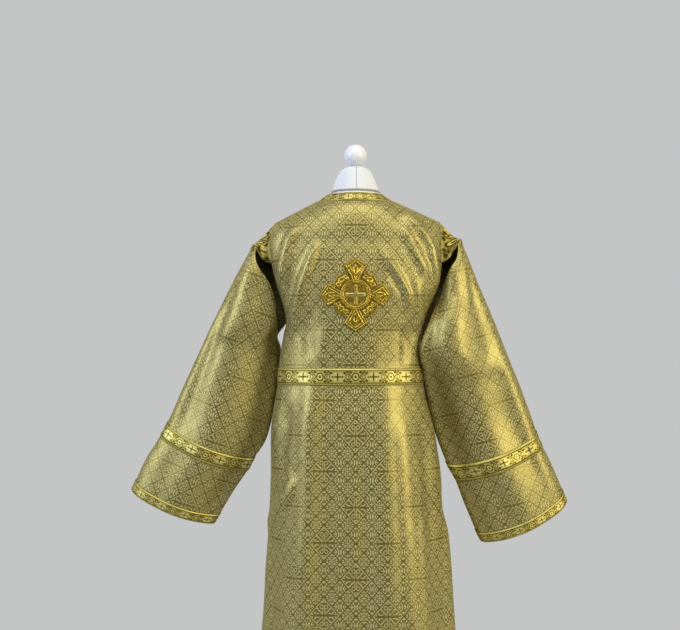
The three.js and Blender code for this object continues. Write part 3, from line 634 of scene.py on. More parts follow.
PANEL_CREASES = {
    # path across and up, half-width, height
    -1: [
        ([(-104, 1090), (-108, 1027), (-118, 930), (-122, 744), (-126, 657), (-132, 430), (-140, 90)],
         44, 14),
        ([(-150, 830), (-170, 766), (-217, 691), (-240, 640)], 24, 10),
        ([(-168, 1010), (-184, 900), (-192, 780)], 26, -8),
        ([(-190, 640), (-200, 560), (-215, 430), (-220, 240)], 34, -8),
        ([(-58, 1020), (-60, 860), (-64, 640), (-68, 420), (-72, 120)], 34, -3),
        ([(74, 1110), (74, 1032), (78, 880), (84, 736), (90, 577), (96, 430), (102, 90)], 74, 14),
        ([(116, 1010), (122, 880), (130, 700), (140, 430), (150, 120)], 34, 6),
        ([(166, 1030), (182, 880), (196, 700), (206, 480), (216, 200)], 36, -11),
        ([(20, 900), (24, 700), (26, 480), (28, 150)], 34, -4),
        ([(195, 900), (205, 760), (215, 560)], 20, 5),
        ([(118, 1482), (129, 1468), (167, 1431), (192, 1391), (209, 1301), (205, 1230)], 18, 9),
        ([(112, 1450), (128, 1420), (150, 1376), (172, 1334), (180, 1280)], 20, 7),
        ([(62, 1390), (82, 1351), (112, 1300), (129, 1264), (140, 1210)], 18, 9),
        ([(84, 1330), (94, 1306), (114, 1279), (132, 1250)], 15, -7),
        ([(150, 1330), (160, 1250), (158, 1180), (150, 1110)], 22, 6),
        ([(120, 1190), (126, 1130), (120, 1080)], 20, -5),
        ([(-112, 1440), (-132, 1391), (-150, 1351), (-164, 1294), (-170, 1240)], 17, -8),
        ([(-86, 1412), (-108, 1367), (-135, 1294), (-157, 1207), (-160, 1140)], 21, 11),
        ([(-138, 1456), (-170, 1402), (-186, 1340), (-190, 1280)], 22, 10),
        ([(-110, 1250), (-122, 1170), (-120, 1090)], 24, -5),
        ([(-75, 1200), (-86, 1140), (-90, 1085)], 22, 4),
    ],
    1: [
        ([(-100, 1060), (-112, 940), (-120, 760), (-128, 520), (-140, 90)], 34, 9),
        ([(-165, 960), (-180, 800), (-188, 560), (-200, 200)], 28, -8),
        ([(-52, 900), (-44, 690), (-50, 420), (-54, 90)], 36, -6),
        ([(10, 800), (4, 560), (8, 330), (10, 90)], 40, 5),
        ([(92, 1055), (108, 900), (112, 700), (124, 430), (140, 90)], 38, 10),
        ([(60, 880), (66, 640), (72, 300)], 30, -6),
        ([(158, 980), (172, 760), (186, 480), (196, 240)], 28, -7),
        ([(-118, 1450), (-140, 1380), (-160, 1310), (-165, 1230)], 18, -7),
        ([(-80, 1400), (-104, 1330), (-130, 1250), (-150, 1180)], 20, 7),
        ([(122, 1448), (146, 1372), (164, 1300), (170, 1230)], 18, -7),
        ([(84, 1396), (106, 1322), (136, 1244), (150, 1170)], 20, 7),
        ([(-60, 1210), (-72, 1150), (-78, 1090)], 24, -4),
        ([(66, 1200), (76, 1145), (80, 1092)], 24, 4),
    ],
}
RIPPLE = 0.9  # the cloth is never quite flat: slow unevenness of this many millimetres
RIPPLES = [
    # size across and up, place in the noise, share of RIPPLE
    (55, 90, 3.0, 1), (21, 30, 7.0, 0.5),
]
ROOM = [
    # height, and how far the cloth may sink there before it meets the form
    (95, 40), (1081, 30), (1170, 24), (1200, 18), (1240, 11), (1285, 6), (1330, 2.8),
    (1370, 1.0), (1402, 0.4), (1514, 0.2),
]
TOP_CALM = 40  # the folds die away over this much of the count below the seams


def panel_folds(side, s, height, point):
    """How far the creases and the ripple move a point of a panel out."""
    z = height if height < BLADES_Z else point.z
    out = sum(crease(point.x, z, *fold) for fold in PANEL_CREASES[side])
    for wide, tall, at, share in RIPPLES:
        out += share * RIPPLE * noise.noise(Vector((point.x / wide, side * at, point.z / tall)))
    room = between(ROOM, height)[0]
    if out < 0:
        out = -room * (1 - math.exp(out / room))
    return out * (1 - abs(s) ** 10) * min(1, max(0, (TOP_COUNT - height) / TOP_CALM))


def cloth_grid(place, columns, rows, folds=None, lift=0, wraps=False):
    """Points and outward normals of a sheet, in millimetres. place gives a point for the shares
    across and up, and folds how far it is moved out."""
    points = [[place(i / columns, j / rows) for i in range(columns + 1)] for j in range(rows + 1)]
    normals = []
    for j in range(rows + 1):
        low, high = points[max(j - 1, 0)], points[min(j + 1, rows)]
        row = []
        for i in range(columns + 1):
            before = points[j][columns - 1] if wraps and i == 0 else points[j][max(i - 1, 0)]
            after = points[j][1] if wraps and i == columns else points[j][min(i + 1, columns)]
            row.append((after - before).cross(high[i] - low[i]).normalized())
        normals.append(row)
    for j in range(rows + 1):
        for i in range(columns + 1):
            out = lift + (folds(i / columns, j / rows, points[j][i]) if folds else 0)
            points[j][i] = points[j][i] + normals[j][i] * out
    return points, normals


def panel_patch(side, columns, rows, low, high, span=2, lift=0):
    """Points of a panel between two heights. Its columns run so that it faces outwards."""
    def spot(across, up):
        return side, -side * (across - 0.5) * span, low + up * (high - low)

    return cloth_grid(lambda across, up: panel_point(*spot(across, up)), columns, rows,
                      lambda across, up, point: panel_folds(*spot(across, up), point), lift)[0]


def lengths(line):
    """The length along a line of points, up to each of them."""
    run = [0.0]
    for a, b in zip(line, line[1:]):
        run.append(run[-1] + (b - a).length)
    return run


def cloth_piece(name, points, chart, material, wraps=False, thick=CLOTH):
    """A sheet through a grid of points. chart gives the place on the flat cloth of each point."""
    rows, columns = len(points) - 1, len(points[0]) - 1
    shape = bmesh.new()
    flat = shape.loops.layers.uv.new("cloth")
    bmesh.ops.create_grid(shape, x_segments=columns, y_segments=rows, size=1)
    spots = {}
    for vert in shape.verts:
        i, j = round((vert.co.x + 1) / 2 * columns), round((vert.co.y + 1) / 2 * rows)
        spots[vert] = (i, j)
        vert.co = points[j][i] / 1000
    for face in shape.faces:
        for corner in face.loops:
            i, j = spots[corner.vert]
            corner[flat].uv = chart[j][i]
    if wraps:
        bmesh.ops.remove_doubles(shape, verts=shape.verts, dist=2e-5)
    piece = new_piece(name, shape, material)
    wall = piece.modifiers.new("wall", "SOLIDIFY")
    wall.thickness = thick
    wall.offset = -1
    return piece


PANEL_COLUMNS = 128
PANEL_ROWS = 230
HEM_Z = BODY[0][0]
PATTERN_X = -1  # the middle of the pattern, and of the cross
SIDES = {"back": -1, "front": 1}
panels = {}
for name, side in SIDES.items():
    points = panel_patch(side, PANEL_COLUMNS, PANEL_ROWS, HEM_Z, TOP_COUNT)
    chart = []
    half = PANEL_COLUMNS // 2
    for j, row in enumerate(points):
        height = HEM_Z + j / PANEL_ROWS * (TOP_COUNT - HEM_Z)
        if height <= BLADES_Z:
            tall = [height] * len(row)
        else:
            tall = [low + (spot - under).length for low, spot, under in zip(tall, row, points[j - 1])]
        run = lengths(row)
        shift = -side * (row[half].x - PATTERN_X) - run[half]
        chart.append([((along + shift) / 1000, up / 1000) for along, up in zip(run, tall)])
    panels[side] = cloth_piece(f"{name}_brocade", points, chart, brocade)
    attach(panels[side], f"{name}_panel")

# ---------------------------------------------------------------- galloon
# Galloon: a stiff braid of gilt thread with a bright border, a dark line and a field of small
# crosses and buds in dark silk. It is sewn on along both edges.
TRIM = 0.0012  # metres
TRIM_LIFT = 1.7  # how far its outer side stands off the outer side of the cloth
REPEAT = 90
BRAID_WIDE = 43

galloon, tree, shader = new_material("gilt galloon, woven braid")
uv = add_node(tree, "ShaderNodeUVMap", uv_map="cloth")
# The chart counts repeats along the braid and widths across it; the place is in millimetres.
place = vector_calc("WRAP", uv, (0.5, 1, 1), (-0.5, 0, 0))
place = vector_calc("SUBTRACT", place, (0, 0.5, 0))
place = vector_calc("MULTIPLY", place, (REPEAT, BRAID_WIDE, 0))
place = vector_calc("ABSOLUTE", place)
along, over = across_and_up(place)
stem = calc("COMPARE", calc("MULTIPLY_ADD", over, -1.0, along), 10.5, 1.5)
branch = calc("COMPARE", calc("MULTIPLY_ADD", over, 0.9, along), 35, 1.5)
field = calc("LESS_THAN", over, 14.6)
dark = either(bar(along, 1.6, over, 9.5), bar(over, 1.6, along, 8.5), *loops(place, [
    ((45, 0), (8, 9.5), 1, 0.16),
    ((17, 10), (3.4, 2.6), 0.5, 0.5),
    ((24, 2), (3, 4.6), 0.9, 0.3),
    ((32, 11.6), (4.4, 2.6), 0.5, 0.5),
    ((45, 0), (2.4, 3), 0.4, 0.6),
]), stem, branch)
bright = either(*loops(place, [
    ((45, 0), (8, 9.5), 0.62, 0.16),
    ((6, 6.4), (4, 4), 0.5, 0.5),
    ((24, 2), (3, 4.6), 0.2, 0.4),
    ((14, 5), (3.2, 2.2), 0.5, 0.5),
]))
dark = calc("MULTIPLY", calc("SUBTRACT", dark, bright), field)
border_line = calc("COMPARE", over, 15.6, 1.1)
edge_line = calc("GREATER_THAN", over, 21)
dark = either(dark, border_line, edge_line)
thread = add_node(tree, "ShaderNodeTexNoise", {"Vector": place, "Scale": 0.5, "Detail": 3, "Roughness": 0.7})
weight = calc("MULTIPLY_ADD", thread, 0.5, -0.25)
weight = calc("MULTIPLY_ADD", bright, 0.3, weight)
weight = calc("MULTIPLY_ADD", dark, -0.62, weight)
weight = calc("ADD", weight, 0.68)
feed(tree, shader, {
    "Base Color": colour_ramp(weight, [(0.02, "#4f471b"), (0.55, "#b2a24a"), (0.98, "#dfd58c")]),
    "Metallic": 0.7, "Roughness": 0.5, "Specular Tint": linear("#d8c070"),
    "Normal": bump(calc("MULTIPLY_ADD", dark, -1.0, thread), 0.6, 0.0006),
})


def braid(name, node, points, chart, material=galloon, wraps=False):
    """A strip of braid in the place of a galloon's solid."""
    piece = cloth_piece(name, points, chart, material, wraps=wraps, thick=TRIM)
    attach(piece, node)


def strip_chart(points, repeat):
    """The chart of a braid: repeats along its rows, and 0 to 1 across it."""
    rows = len(points) - 1
    run = lengths(points[rows // 2])
    return [[(along / repeat, j / rows) for along in run] for j in range(rows + 1)]


WAIST = (1038, 1081)  # lower and upper edge
WAIST_SPAN = 2 * 0.9985
WAIST_COLUMNS = 128
WAIST_ROWS = 6
for name, side in SIDES.items():
    points = panel_patch(side, WAIST_COLUMNS, WAIST_ROWS, *WAIST, WAIST_SPAN, TRIM_LIFT)
    chart = strip_chart(points, REPEAT)
    half = WAIST_COLUMNS // 2
    middle = points[WAIST_ROWS // 2][half].x - PATTERN_X
    shift = chart[0][half][0] + (0.5 + side * middle / REPEAT) % 1
    chart = [[(u - shift, v) for u, v in row] for row in chart]
    braid(f"waist_braid_{name}", f"waist_galloon_{name}", points, chart)

# ---------------------------------------------------------------- collar
# The collar is a narrow band of galloon that stands on the neckline and is sewn to it. Its top
# edge is turned over and finished with a gilt cord, sewn down all round.
COLLAR_REPEAT = 60
COLLAR_COLUMNS = 96
COLLAR_ROWS = 6
COLLAR_HALF = 74
COLLAR_BACK = (70, 8)  # how far its top reaches from the middle, and how much higher it stands
COLLAR_FRONT = (71, 9)
COLLAR_RISE = 13
COLLAR_BOW = 1.2  # how far it bulges between its edges
CORD_RADIUS = 0.0013


def collar_place(across, up):
    angle = (across - 0.5) * 2 * math.pi
    foot = neck_point(angle)
    forward, backward = round_neck(angle)
    top = Vector((
        COLLAR_HALF * math.sin(angle),
        COLLAR_FRONT[0] * forward - COLLAR_BACK[0] * backward,
        foot.z + COLLAR_RISE + COLLAR_BACK[1] * backward + COLLAR_FRONT[1] * forward,
    ))
    foot.z += GAP
    return foot.lerp(top, up)


def collar_bow(across, up, point):
    return COLLAR_BOW * math.sin(math.pi * up)


points, _ = cloth_grid(collar_place, COLLAR_COLUMNS, COLLAR_ROWS, collar_bow, wraps=True)
braid("collar_braid", "collar_galloon", points, strip_chart(points, COLLAR_REPEAT), wraps=True)

# Gilt cord: silk wound with gilt wire, two plies laid together.
gilt_cord, tree, shader = new_material("gilt cord, wire wound on silk")
_, plies, tone = mottle(tree, 500, 2, "#8d742a", "#f3e6a0")
feed(tree, shader, {
    "Base Color": tone, "Metallic": 0.7, "Roughness": 0.35, "Normal": bump(plies, 0.6, 0.0006)})
cord = tube("collar_cord", [point / 1000 for point in points[-1]], CORD_RADIUS, gilt_cord)
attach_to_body(cord, "root")

# ---------------------------------------------------------------- sleeves
# Each sleeve is one piece of brocade, wide and open, sewn into a tube along the underarm and
# joined to the body only over the shoulder, so that the armhole gapes below.
SLEEVES = {
    "left": (-1, [
        # outer fold x, y, z, inner fold x, y, z, depth, dip, opening behind and before in degrees
        (-264, 0, 1402, -226, 32, 1344, 104, 0, 126, 8),
        (-303, 0, 1332, -214, 0, 1322, 112, 0, 63, 8),
        (-334, 2, 1272, -196, 2, 1262, 112, 2, 43, 4),
        (-362, 4, 1216, -186, 4, 1203, 110, 4, 36, 3),
        (-382, 5, 1175, -203, 21, 1164, 108, 6, 6, 2),
        (-398, 6, 1140, -195, 38, 1124, 106, 8, 0, 0),
        (-435, 8, 1060, -206, 32, 1020, 100, 12, 0, 0),
        (-468, 10, 985, -229, 24, 905, 96, 16, 0, 0),
        (-490, 12, 938, -262, 14, 849, 92, 19, 0, 0),
        (-507, 12, 906, -279, 14, 817, 90, 20, 0, 0),
        (-545, 14, 845, -318, 16, 760, 86, 20, 0, 0),
        (-572, 15, 788, -352, 17, 703, 84, 19, 0, 0),
        (-583, 16, 765, -366, 18, 680, 82, 19, 0, 0),
    ]),
    "right": (1, [
        (272, 0, 1415, 230, 32, 1350, 104, 0, 126, 8),
        (300, 0, 1346, 220, -2, 1332, 116, 0, 68, 8),
        (330, 0, 1272, 206, -12, 1262, 122, 4, 30, 4),
        (358, 2, 1208, 181, -46, 1196, 118, 6, 16, 3),
        (386, 4, 1138, 162, -54, 1128, 108, 8, 0, 0),
        (402, 6, 1098, 169, -32, 1084, 104, 12, 0, 0),
        (420, 8, 1056, 176.8, 2, 1036, 100, 15, 0, 0),
        (447, 10, 985, 197.4, 31, 945, 96, 20, 0, 0),
        (471, 12, 916, 237, 24, 836, 92, 24, 0, 0),
        (486, 12, 880, 258, 14, 796, 92, 26, 0, 0),
        (515, 14, 822, 284, 16, 728, 94, 28, 0, 0),
        (541, 16, 760, 313, 18, 660, 94, 28, 0, 0),
        (551, 16, 736, 325, 18, 636, 94, 28, 0, 0),
    ]),
}
LAST_ROW = 12
SLEEVE_COLUMNS = 88
SLEEVE_ROWS = 132
SLEEVE_TRIM_ROWS = 5
SLEEVE_TRIMS = [
    # kind, the rows that it lies between, length of a repeat
    ("sleeve", 8, 9, 80),
    ("cuff", LAST_ROW - 1, LAST_ROW, 64),
]
SLEEVE_SWELLS = [
    # degrees round the tube, half-width, depth
    (-92, 34, 7), (-140, 30, -11), (60, 28, 6), (105, 26, -5),
]
SLEEVE_CREASES = {
    # path as degrees round the tube (under 0 is behind) and rows down from the head
    "left": [
        ([(-142, 0.3), (-133, 2), (-126, 4), (-118, 6)], 22, 10),
        ([(-76, 0.4), (-70, 3), (-72, 6), (-84, 9), (-98, 12.5)], 34, 8),
        ([(-34, 1), (-42, 5), (-44, 9)], 24, -7),
        ([(-152, 6), (-146, 9), (-140, 12)], 28, -6),
        ([(60, 0.5), (70, 4), (76, 9)], 26, 9),
        ([(120, 1), (110, 5), (108, 10)], 24, -9),
        ([(30, 2), (34, 7), (36, 12.5)], 22, -6),
    ],
    "right": [
        ([(-122, 0.3), (-114, 2), (-104, 4), (-94, 6.5), (-80, 9), (-70, 12.5)], 36, 11),
        ([(-152, 3), (-136, 5.5), (-120, 8.5)], 26, -7),
        ([(-62, 1), (-54, 3), (-48, 5)], 22, -6),
        ([(-34, 3), (-32, 7), (-28, 12)], 22, 7),
        ([(-112, 8), (-106, 10), (-100, 12.5)], 20, -7),
        ([(64, 0.5), (72, 4), (80, 9)], 26, 9),
        ([(118, 1), (112, 5), (106, 10)], 24, -9),
        ([(30, 2), (32, 7), (38, 12.5)], 22, -6),
    ],
}
SWELL_FROM = 1330  # the swells start where the inner fold is at this height
SWELL_RUN = 260  # and are full this much lower
HEAD_REACH = 13  # the front half of the head reaches this far into the armhole
HEAD_ROWS = 4  # the head ends at this row, where the sleeve becomes a closed tube
HEAD_FADE = 1.5  # rows
DEGREE = 12.0  # a row down counts as this many degrees round, for the width of a crease
SEAM_CALM = 20  # degrees on each side of the underarm seam where the creases die away
CUFF_CALM = 0.35  # the share of the creases that is left at the cuff, stiff with galloon


def sleeve_point(rows, hand, across, row):
    """across runs 0 to 1 anticlockwise seen from outside, row counts down from the head. Gives
    the point and the degrees round the tube."""
    table = [(i, *values) for i, values in enumerate(rows)]
    ox, oy, oz, ix, iy, iz, depth, dip, back, fore = between(table, row)
    u = hand * (2 * across - 1)
    angle = u * (math.pi - math.radians(max(back if u < 0 else fore, 0)))
    degrees = math.degrees(angle)
    fold = sum(deep * swell(degrees - at, width) for at, width, deep in SLEEVE_SWELLS)
    calm = min(1, max(0, (SWELL_FROM - iz) / SWELL_RUN))
    middle, half = Vector((ox + ix, oy + iy, oz + iz)) / 2, Vector((ox - ix, oy - iy, oz - iz)) / 2
    point = middle + half * math.cos(angle)
    if u > 0:
        reach = HEAD_REACH * min(1, max(0, (HEAD_ROWS - row) / HEAD_FADE))
        point.x -= hand * reach * max(0, -math.cos(angle))
    point.y += (depth / 2 + fold * calm) * math.sin(angle)
    point.z += dip * math.sin(angle)
    return point, degrees


def sleeve_patch(name, first, last, rows, lift=0):
    """Points and normals of a sleeve from its row last, the lower, up to its row first."""
    hand, table = SLEEVES[name]

    def place(across, up):
        return sleeve_point(table, hand, across, last + (first - last) * up)[0]

    def folds(across, up, point):
        row = last + (first - last) * up
        angle = sleeve_point(table, hand, across, row)[1]
        out = sum(
            crease(angle, row * DEGREE, [(a, r * DEGREE) for a, r in path], half, height)
            for path, half, height in SLEEVE_CREASES[name])
        out += RIPPLE * noise.noise(Vector((angle / 30, hand * 5.0, row)))
        seam = min(1, (180 - abs(angle)) / SEAM_CALM) if row > HEAD_ROWS else 1
        return out * seam * min(1, row) * min(1, CUFF_CALM + (LAST_ROW - row) / 2)

    return cloth_grid(place, SLEEVE_COLUMNS, rows, folds, lift)


heads = {}
sleeves = {}
for name, (hand, table) in SLEEVES.items():
    points, normals = sleeve_patch(name, 0, LAST_ROW, SLEEVE_ROWS)
    head, cuff = table[0], table[-1]
    start = Vector((head[0] + head[3], 0, head[2] + head[5])) / 2
    axis = (Vector((cuff[0] + cuff[3], 0, cuff[2] + cuff[5])) / 2 - start).normalized()
    half = SLEEVE_COLUMNS // 2
    chart = []
    for row in points:
        run = lengths(row)
        chart.append([((along - run[half]) / 1000, -(spot - start).dot(axis) / 1000)
                      for along, spot in zip(run, row)])
    sleeves[name] = cloth_piece(f"sleeve_brocade_{name}", points, chart, brocade, wraps=True)
    heads[name] = (points[-3], normals[-3]), (points[-1], normals[-1])
    attach(sleeves[name], f"sleeve_{name}")

    for trim, first, last, repeat in SLEEVE_TRIMS:
        points, _ = sleeve_patch(name, first, last, SLEEVE_TRIM_ROWS, TRIM_LIFT)
        chart = strip_chart(points, repeat)
        braid(f"{trim}_braid_{name}", f"{trim}_galloon_{name}", points, chart, wraps=True)

# ---------------------------------------------------------------- shoulder galloon and armhole edge
# A strip of galloon bridges each shoulder tip from the body to the sleeve's head. Below it the
# body's armhole is bound with a row of small gilt beads couched along the edge.
EDGE_STEPS = 40
STRIP_COLUMNS = 60
STRIP_ROWS = 8
STRIP_FROM = 1352  # height where the strip starts on the body, at the back and at the front
STRIP_REPEAT = 70
STRIP_LIFT = 1.6
STRIP_INSET = 8  # columns of the sleeve's head that it leaves free at each end
STRIP_LAP = 0.25  # the share of its width that lies on the sleeve
STRIP_OUT = 0.6  # it starts this far outside the body's edge
STRIP_CROWN = 3  # how far its middle stands up
STRIP_SAG = 24  # how far it sinks in behind the shoulder, and down, at this depth behind it
STRIP_DROP = 20
STRIP_DEEP = 40
STRIP_FIELD = 0.7  # its borders are turned under, so only this share of the width shows
BEADS_FROM = 1205
BEAD_STEP = 4.6
BEAD_RADIUS = 1.5
BEAD_OUT = 0.8  # from the edge of the cloth to the middle of a bead


def spread(points, count):
    """count + 1 points at even steps along a line of points."""
    run = lengths(points)
    spots = []
    for k in range(count + 1):
        at = run[-1] * k / count
        i = min(max(bisect.bisect_right(run, at) - 1, 0), len(points) - 2)
        spots.append(points[i].lerp(points[i + 1], (at - run[i]) / max(run[i + 1] - run[i], 1e-9)))
    return spots


def armhole_edge(hand, lowest):
    """Up the back panel's edge and down the front panel's, over the shoulder tip."""
    steps = [lowest + (TOP_COUNT - lowest) * k / EDGE_STEPS for k in range(EDGE_STEPS + 1)]
    back = [panel_point(-1, hand, height) for height in steps]
    front = [panel_point(1, hand, height) for height in steps]
    return back + front[::-1][1:]


# The shoulder galloon is the same braid in painted shade: darker, browner colours for the shade it lies in
# between shoulder and sleeve, and a duller gilt.
shaded_galloon = galloon.copy()
shaded_galloon.name = "gilt galloon, woven braid, painted shade"
for node in shaded_galloon.node_tree.nodes:
    if node.type == "VALTORGB":
        for stop, colour in zip(node.color_ramp.elements, ("#3a3310", "#80722a", "#d8cc7a")):
            stop.color = linear(colour)
    if node.type == "BSDF_PRINCIPLED":
        feed(shaded_galloon.node_tree, node, {"Metallic": 0.5, "Roughness": 0.62})

for name, (hand, table) in SLEEVES.items():
    lines = []
    for head_points, head_normals in heads[name]:
        line = [point + normal * STRIP_LIFT for point, normal in zip(head_points, head_normals)]
        lines.append(spread(line[STRIP_INSET:-STRIP_INSET], STRIP_COLUMNS))
    lower, outer = lines
    inner = spread(armhole_edge(hand, STRIP_FROM), STRIP_COLUMNS)
    if (inner[0] - outer[0]).length > (inner[-1] - outer[0]).length:
        inner.reverse()

    def strip_place(across, up):
        i = round(across * STRIP_COLUMNS)
        if up <= STRIP_LAP:
            return lower[i].lerp(outer[i], up / STRIP_LAP)
        up = (up - STRIP_LAP) / (1 - STRIP_LAP)
        away = (outer[i] - inner[i]).normalized()
        point = outer[i].lerp(inner[i] + away * STRIP_OUT, up)
        behind = max(0, -point.y) / STRIP_DEEP
        crown = 4 * up * (1 - up)
        return point + Vector((0, STRIP_SAG * behind, STRIP_CROWN - STRIP_DROP * behind)) * crown

    points, _ = cloth_grid(strip_place, STRIP_COLUMNS, STRIP_ROWS)
    chart = strip_chart(points, STRIP_REPEAT)
    chart = [[(u, 0.5 + (v - 0.5) * STRIP_FIELD) for u, v in row] for row in chart]
    braid(f"armhole_braid_{name}", f"armhole_galloon_{name}", points, chart, shaded_galloon)

    edge = armhole_edge(hand, BEADS_FROM)
    shape = bmesh.new()
    for spot in spread(edge, round(lengths(edge)[-1] / BEAD_STEP)):
        made = bmesh.ops.create_icosphere(shape, subdivisions=1, radius=BEAD_RADIUS / 1000)
        bmesh.ops.translate(shape, verts=made["verts"], vec=(spot + Vector((hand * BEAD_OUT, 0, 0))) / 1000)
    beads = new_piece(f"armhole_beads_{name}", shape, gilt_cord)
    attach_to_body(beads, "root")

# ---------------------------------------------------------------- cross on the back
# The cross is padded goldwork: card and felt covered in laid gilt thread, with raised borders of
# twisted cord, sewn down round its edge. A ring and a disc with a plain cross are its middle.
CROSS_X = PATTERN_X
CROSS_Z = 1265
RING = (29, 38)  # inner and outer radius
ARM = {"root": 10.5, "end": 30, "point": 20}  # half-widths, and how far the end's corners are cut back
ARM_FLARE = 1.15  # over 1 makes an arm's sides hollow
ARM_FOOT = 38.6  # the radius that the roots follow round the ring
ARM_REACH = {"up": 93, "left": 90, "down": 93, "right": 90}
LEAF = {"from": 39, "side": 58, "middle": 65, "spread": 25.5}
FELT = 0.9  # the padding's height at the edge of an arm or a leaf
FELT_SLOPE = 1.5  # it is full this far from the edge
# Raised cords: distance from an arm's edge, or radius on the ring and the disc; half-width; height.
ARM_CORDS = [(2.2, 2.2, 2.5), (7.6, 1.8, 1.8)]
RING_CORDS = [(36, 2, 1.6), (31.4, 1.9, 1.3)]
DISC_CORDS = [(26.5, 1.3, 0.7), (23, 1.0, 0.35), (20, 1.0, 0.3)]
ARM_BUD = {"up": 60, "half": 6, "tall": 13, "from": 8}  # the raised bud inside an arm's cords
LEAF_CURLS = [(0.2, 5.4), (0.5, 6.6), (0.8, 5.4)]  # share across the leaf, size
CURL_RADIUS = 48.5  # from the cross's middle to the middle of a curl
LEAF_WIDE = 42  # a leaf's size, for the distances on it
LEAF_TALL = 18
TWISTS = 46  # turns of the ring's cord
PLAIN_REACH = 24  # half the plain cross on the disc
# Columns and rows of each piece's mesh.
ARM_GRID, LEAF_GRID, RING_GRID, DISC_GRID = (40, 34), (44, 20), (184, 12), (60, 60)

goldwork, tree, shader = new_material("goldwork, laid gilt thread over felt")
uv = add_node(tree, "ShaderNodeUVMap", uv_map="cloth")
place = add_node(tree, "ShaderNodeTexCoord", out=3)
# Laid threads are 0.5 mm apart. The stitches that hold them are drawn 2.3 mm apart so that they
# show.
stitches = add_node(tree, "ShaderNodeTexWave", {"Vector": uv, "Scale": 190, "Distortion": 1.5, "Detail": 1},
                    wave_type="BANDS", bands_direction="DIAGONAL")
wear = add_node(tree, "ShaderNodeTexNoise", {"Vector": place, "Scale": 120, "Detail": 3})
weight = calc("MULTIPLY_ADD", stitches, 0.35, wear)
tone = colour_ramp(weight, [(0.25, "#5c480d"), (0.95, "#ccb044")])
# The plain cross on the disc is laid in paler thread.
across, up = across_and_up(vector_calc("ABSOLUTE", uv))
pale = either(bar(across, 0.0032, up, 0.024), bar(up, 0.0042, across, 0.024))
tone = blend(calc("MULTIPLY", pale, 0.6), tone, linear("#e0cc78"))
feed(tree, shader, {
    "Base Color": tone, "Metallic": 0.75, "Roughness": 0.3, "Normal": bump(weight, 0.5, 0.0006)})


def on_back(x, z, lift):
    """A point on the back panel, by its place seen from behind, moved out by lift."""
    left, right = between(BODY, z)[:2]
    s = math.asin((x - (left + right) / 2) / ((right - left) / 2)) / (math.pi / 2)
    point = panel_point(-1, s, z)
    folds = panel_folds(-1, s, z, point)
    step = panel_point(-1, s + 0.01, z) - panel_point(-1, s - 0.01, z)
    rise = panel_point(-1, s, z + 2) - panel_point(-1, s, z - 2)
    return point + step.cross(rise).normalized() * (folds + lift)


def ridge(distance, at, half):
    """1 on a raised cord at a distance from the edge, 0 beyond its half-width."""
    return math.sqrt(max(0, 1 - ((distance - at) / half) ** 2))


def cords(distance, rows):
    """The height of several raised cords."""
    return sum(height * ridge(distance, at, half) for at, half, height in rows)


def embroidered(name, node, grid, outline, relief_at, wraps=False):
    """outline gives x and z from the cross's middle, relief_at the height, for shares u and v."""
    (columns, rows), points, chart = grid, [], []
    for j in range(rows + 1):
        row, flat = [], []
        for i in range(columns + 1):
            u, v = (i % columns if wraps else i) / columns, j / rows
            x, z = outline(u, v)
            row.append(on_back(CROSS_X + x, CROSS_Z + z, relief_at(u, v, x, z)))
            flat.append((x / 1000, z / 1000))
        points.append(row)
        chart.append(flat)
    attach(cloth_piece(name, points, chart, goldwork, wraps=wraps, thick=TRIM), node)


def arm_width(v):
    """Half an arm's width at a share of its length."""
    return ARM["root"] + (ARM["end"] - ARM["root"]) * v ** ARM_FLARE


def arm_spot(reach, u, v):
    """A place on an arm that stands upright, across and up from the cross's middle."""
    across = (2 * u - 1) * arm_width(v)
    hollow = (ARM_FOOT - math.sqrt(ARM_FOOT ** 2 - across ** 2)) * 0.9
    low, end = ARM_FOOT - hollow + GAP, reach - ARM["point"] * abs(2 * u - 1)
    return across, low + (end - low) * v


for number, (name, reach) in enumerate(ARM_REACH.items()):
    turn = math.radians(90 * number)

    def arm_outline(u, v):
        x, z = arm_spot(reach, u, v)
        return x * math.cos(turn) - z * math.sin(turn), x * math.sin(turn) + z * math.cos(turn)

    def arm_relief(u, v, x, z):
        across, up = arm_spot(reach, u, v)
        edge = min((arm_width(v) - abs(across)) * 0.9, (arm_spot(reach, u, 1)[1] - up) * 0.82)
        height = FELT + 1.2 * min(1, edge / FELT_SLOPE) + cords(edge, ARM_CORDS)
        if edge > ARM_BUD["from"]:
            away = math.hypot(across / ARM_BUD["half"], (up - ARM_BUD["up"]) / ARM_BUD["tall"])
            height += 1.9 * ridge(abs(away - 0.8) * ARM_BUD["half"], 0, 1.6)
        return height

    embroidered(f"cross_goldwork_{name}", f"cross_arm_{name}", ARM_GRID, arm_outline, arm_relief)

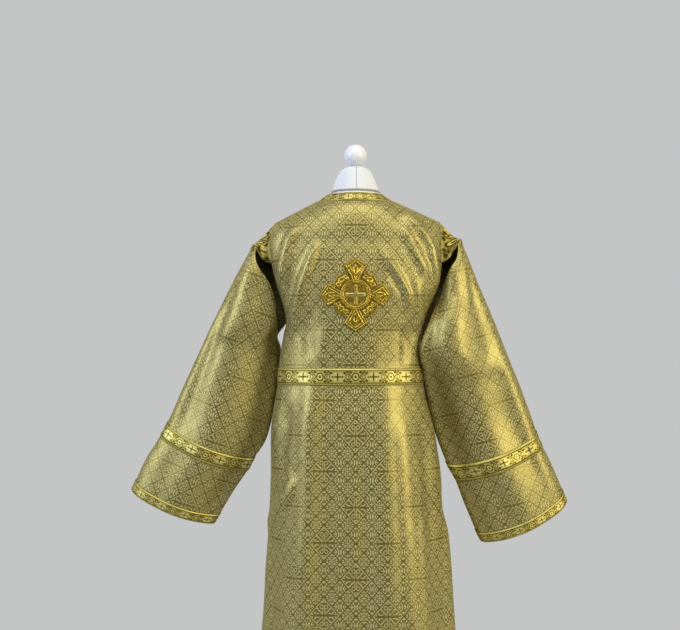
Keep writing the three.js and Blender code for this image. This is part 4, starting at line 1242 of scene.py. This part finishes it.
for number in range(4):
    middle_angle = 45 + 90 * number

    def leaf_outline(u, v):
        angle = math.radians(middle_angle + (1 - 2 * u) * LEAF["spread"])
        scallop = 1.6 * abs(math.sin(3 * math.pi * u)) - 1.0
        outer = LEAF["side"] + (LEAF["middle"] - LEAF["side"]) * math.sin(math.pi * u) + scallop
        radius = LEAF["from"] + (outer - LEAF["from"]) * v
        return -radius * math.sin(angle), radius * math.cos(angle)

    def leaf_relief(u, v, x, z):
        radius = math.hypot(x, z)
        height = FELT + 1.0 * min(1, u * 8, (1 - u) * 8, (1 - v) * 5)
        for at, size in LEAF_CURLS:
            away = math.hypot((u - at) * LEAF_WIDE, radius - (CURL_RADIUS + 2 * math.sin(math.pi * u)))
            height += 2.3 * ridge(away, size * 0.78, 1.5) + 1.2 * ridge(away, 0, 1.8)
        return height + 1.3 * ridge((1 - v) * LEAF_TALL, 1.4, 1.4)

    name = number + 1
    embroidered(f"cross_scroll_{name}", f"cross_leaf_{name}", LEAF_GRID, leaf_outline, leaf_relief)


def ring_outline(u, v):
    radius = RING[0] + (RING[1] - RING[0]) * v
    return -radius * math.sin(2 * math.pi * u), radius * math.cos(2 * math.pi * u)


def ring_relief(u, v, x, z):
    twist = 0.35 * math.sin(2 * math.pi * (u * TWISTS + v))
    return 1.6 + cords(math.hypot(x, z), RING_CORDS) + twist


embroidered("cross_goldwork_ring", "cross_ring", RING_GRID, ring_outline, ring_relief, wraps=True)


def disc_outline(u, v):
    a, b, radius = 2 * u - 1, 2 * v - 1, RING[0] - 0.5
    return radius * a * math.sqrt(1 - b * b / 2), radius * b * math.sqrt(1 - a * a / 2)


def disc_relief(u, v, x, z):
    upright = min(1, 4.0 - abs(x)) if abs(z) < PLAIN_REACH else 0
    level = min(1, 4.4 - abs(z)) if abs(x) < PLAIN_REACH else 0
    return 1.3 + cords(math.hypot(x, z), DISC_CORDS) + 0.9 * max(0, upright, level)


embroidered("cross_goldwork_disc", "cross_disc", DISC_GRID, disc_outline, disc_relief)
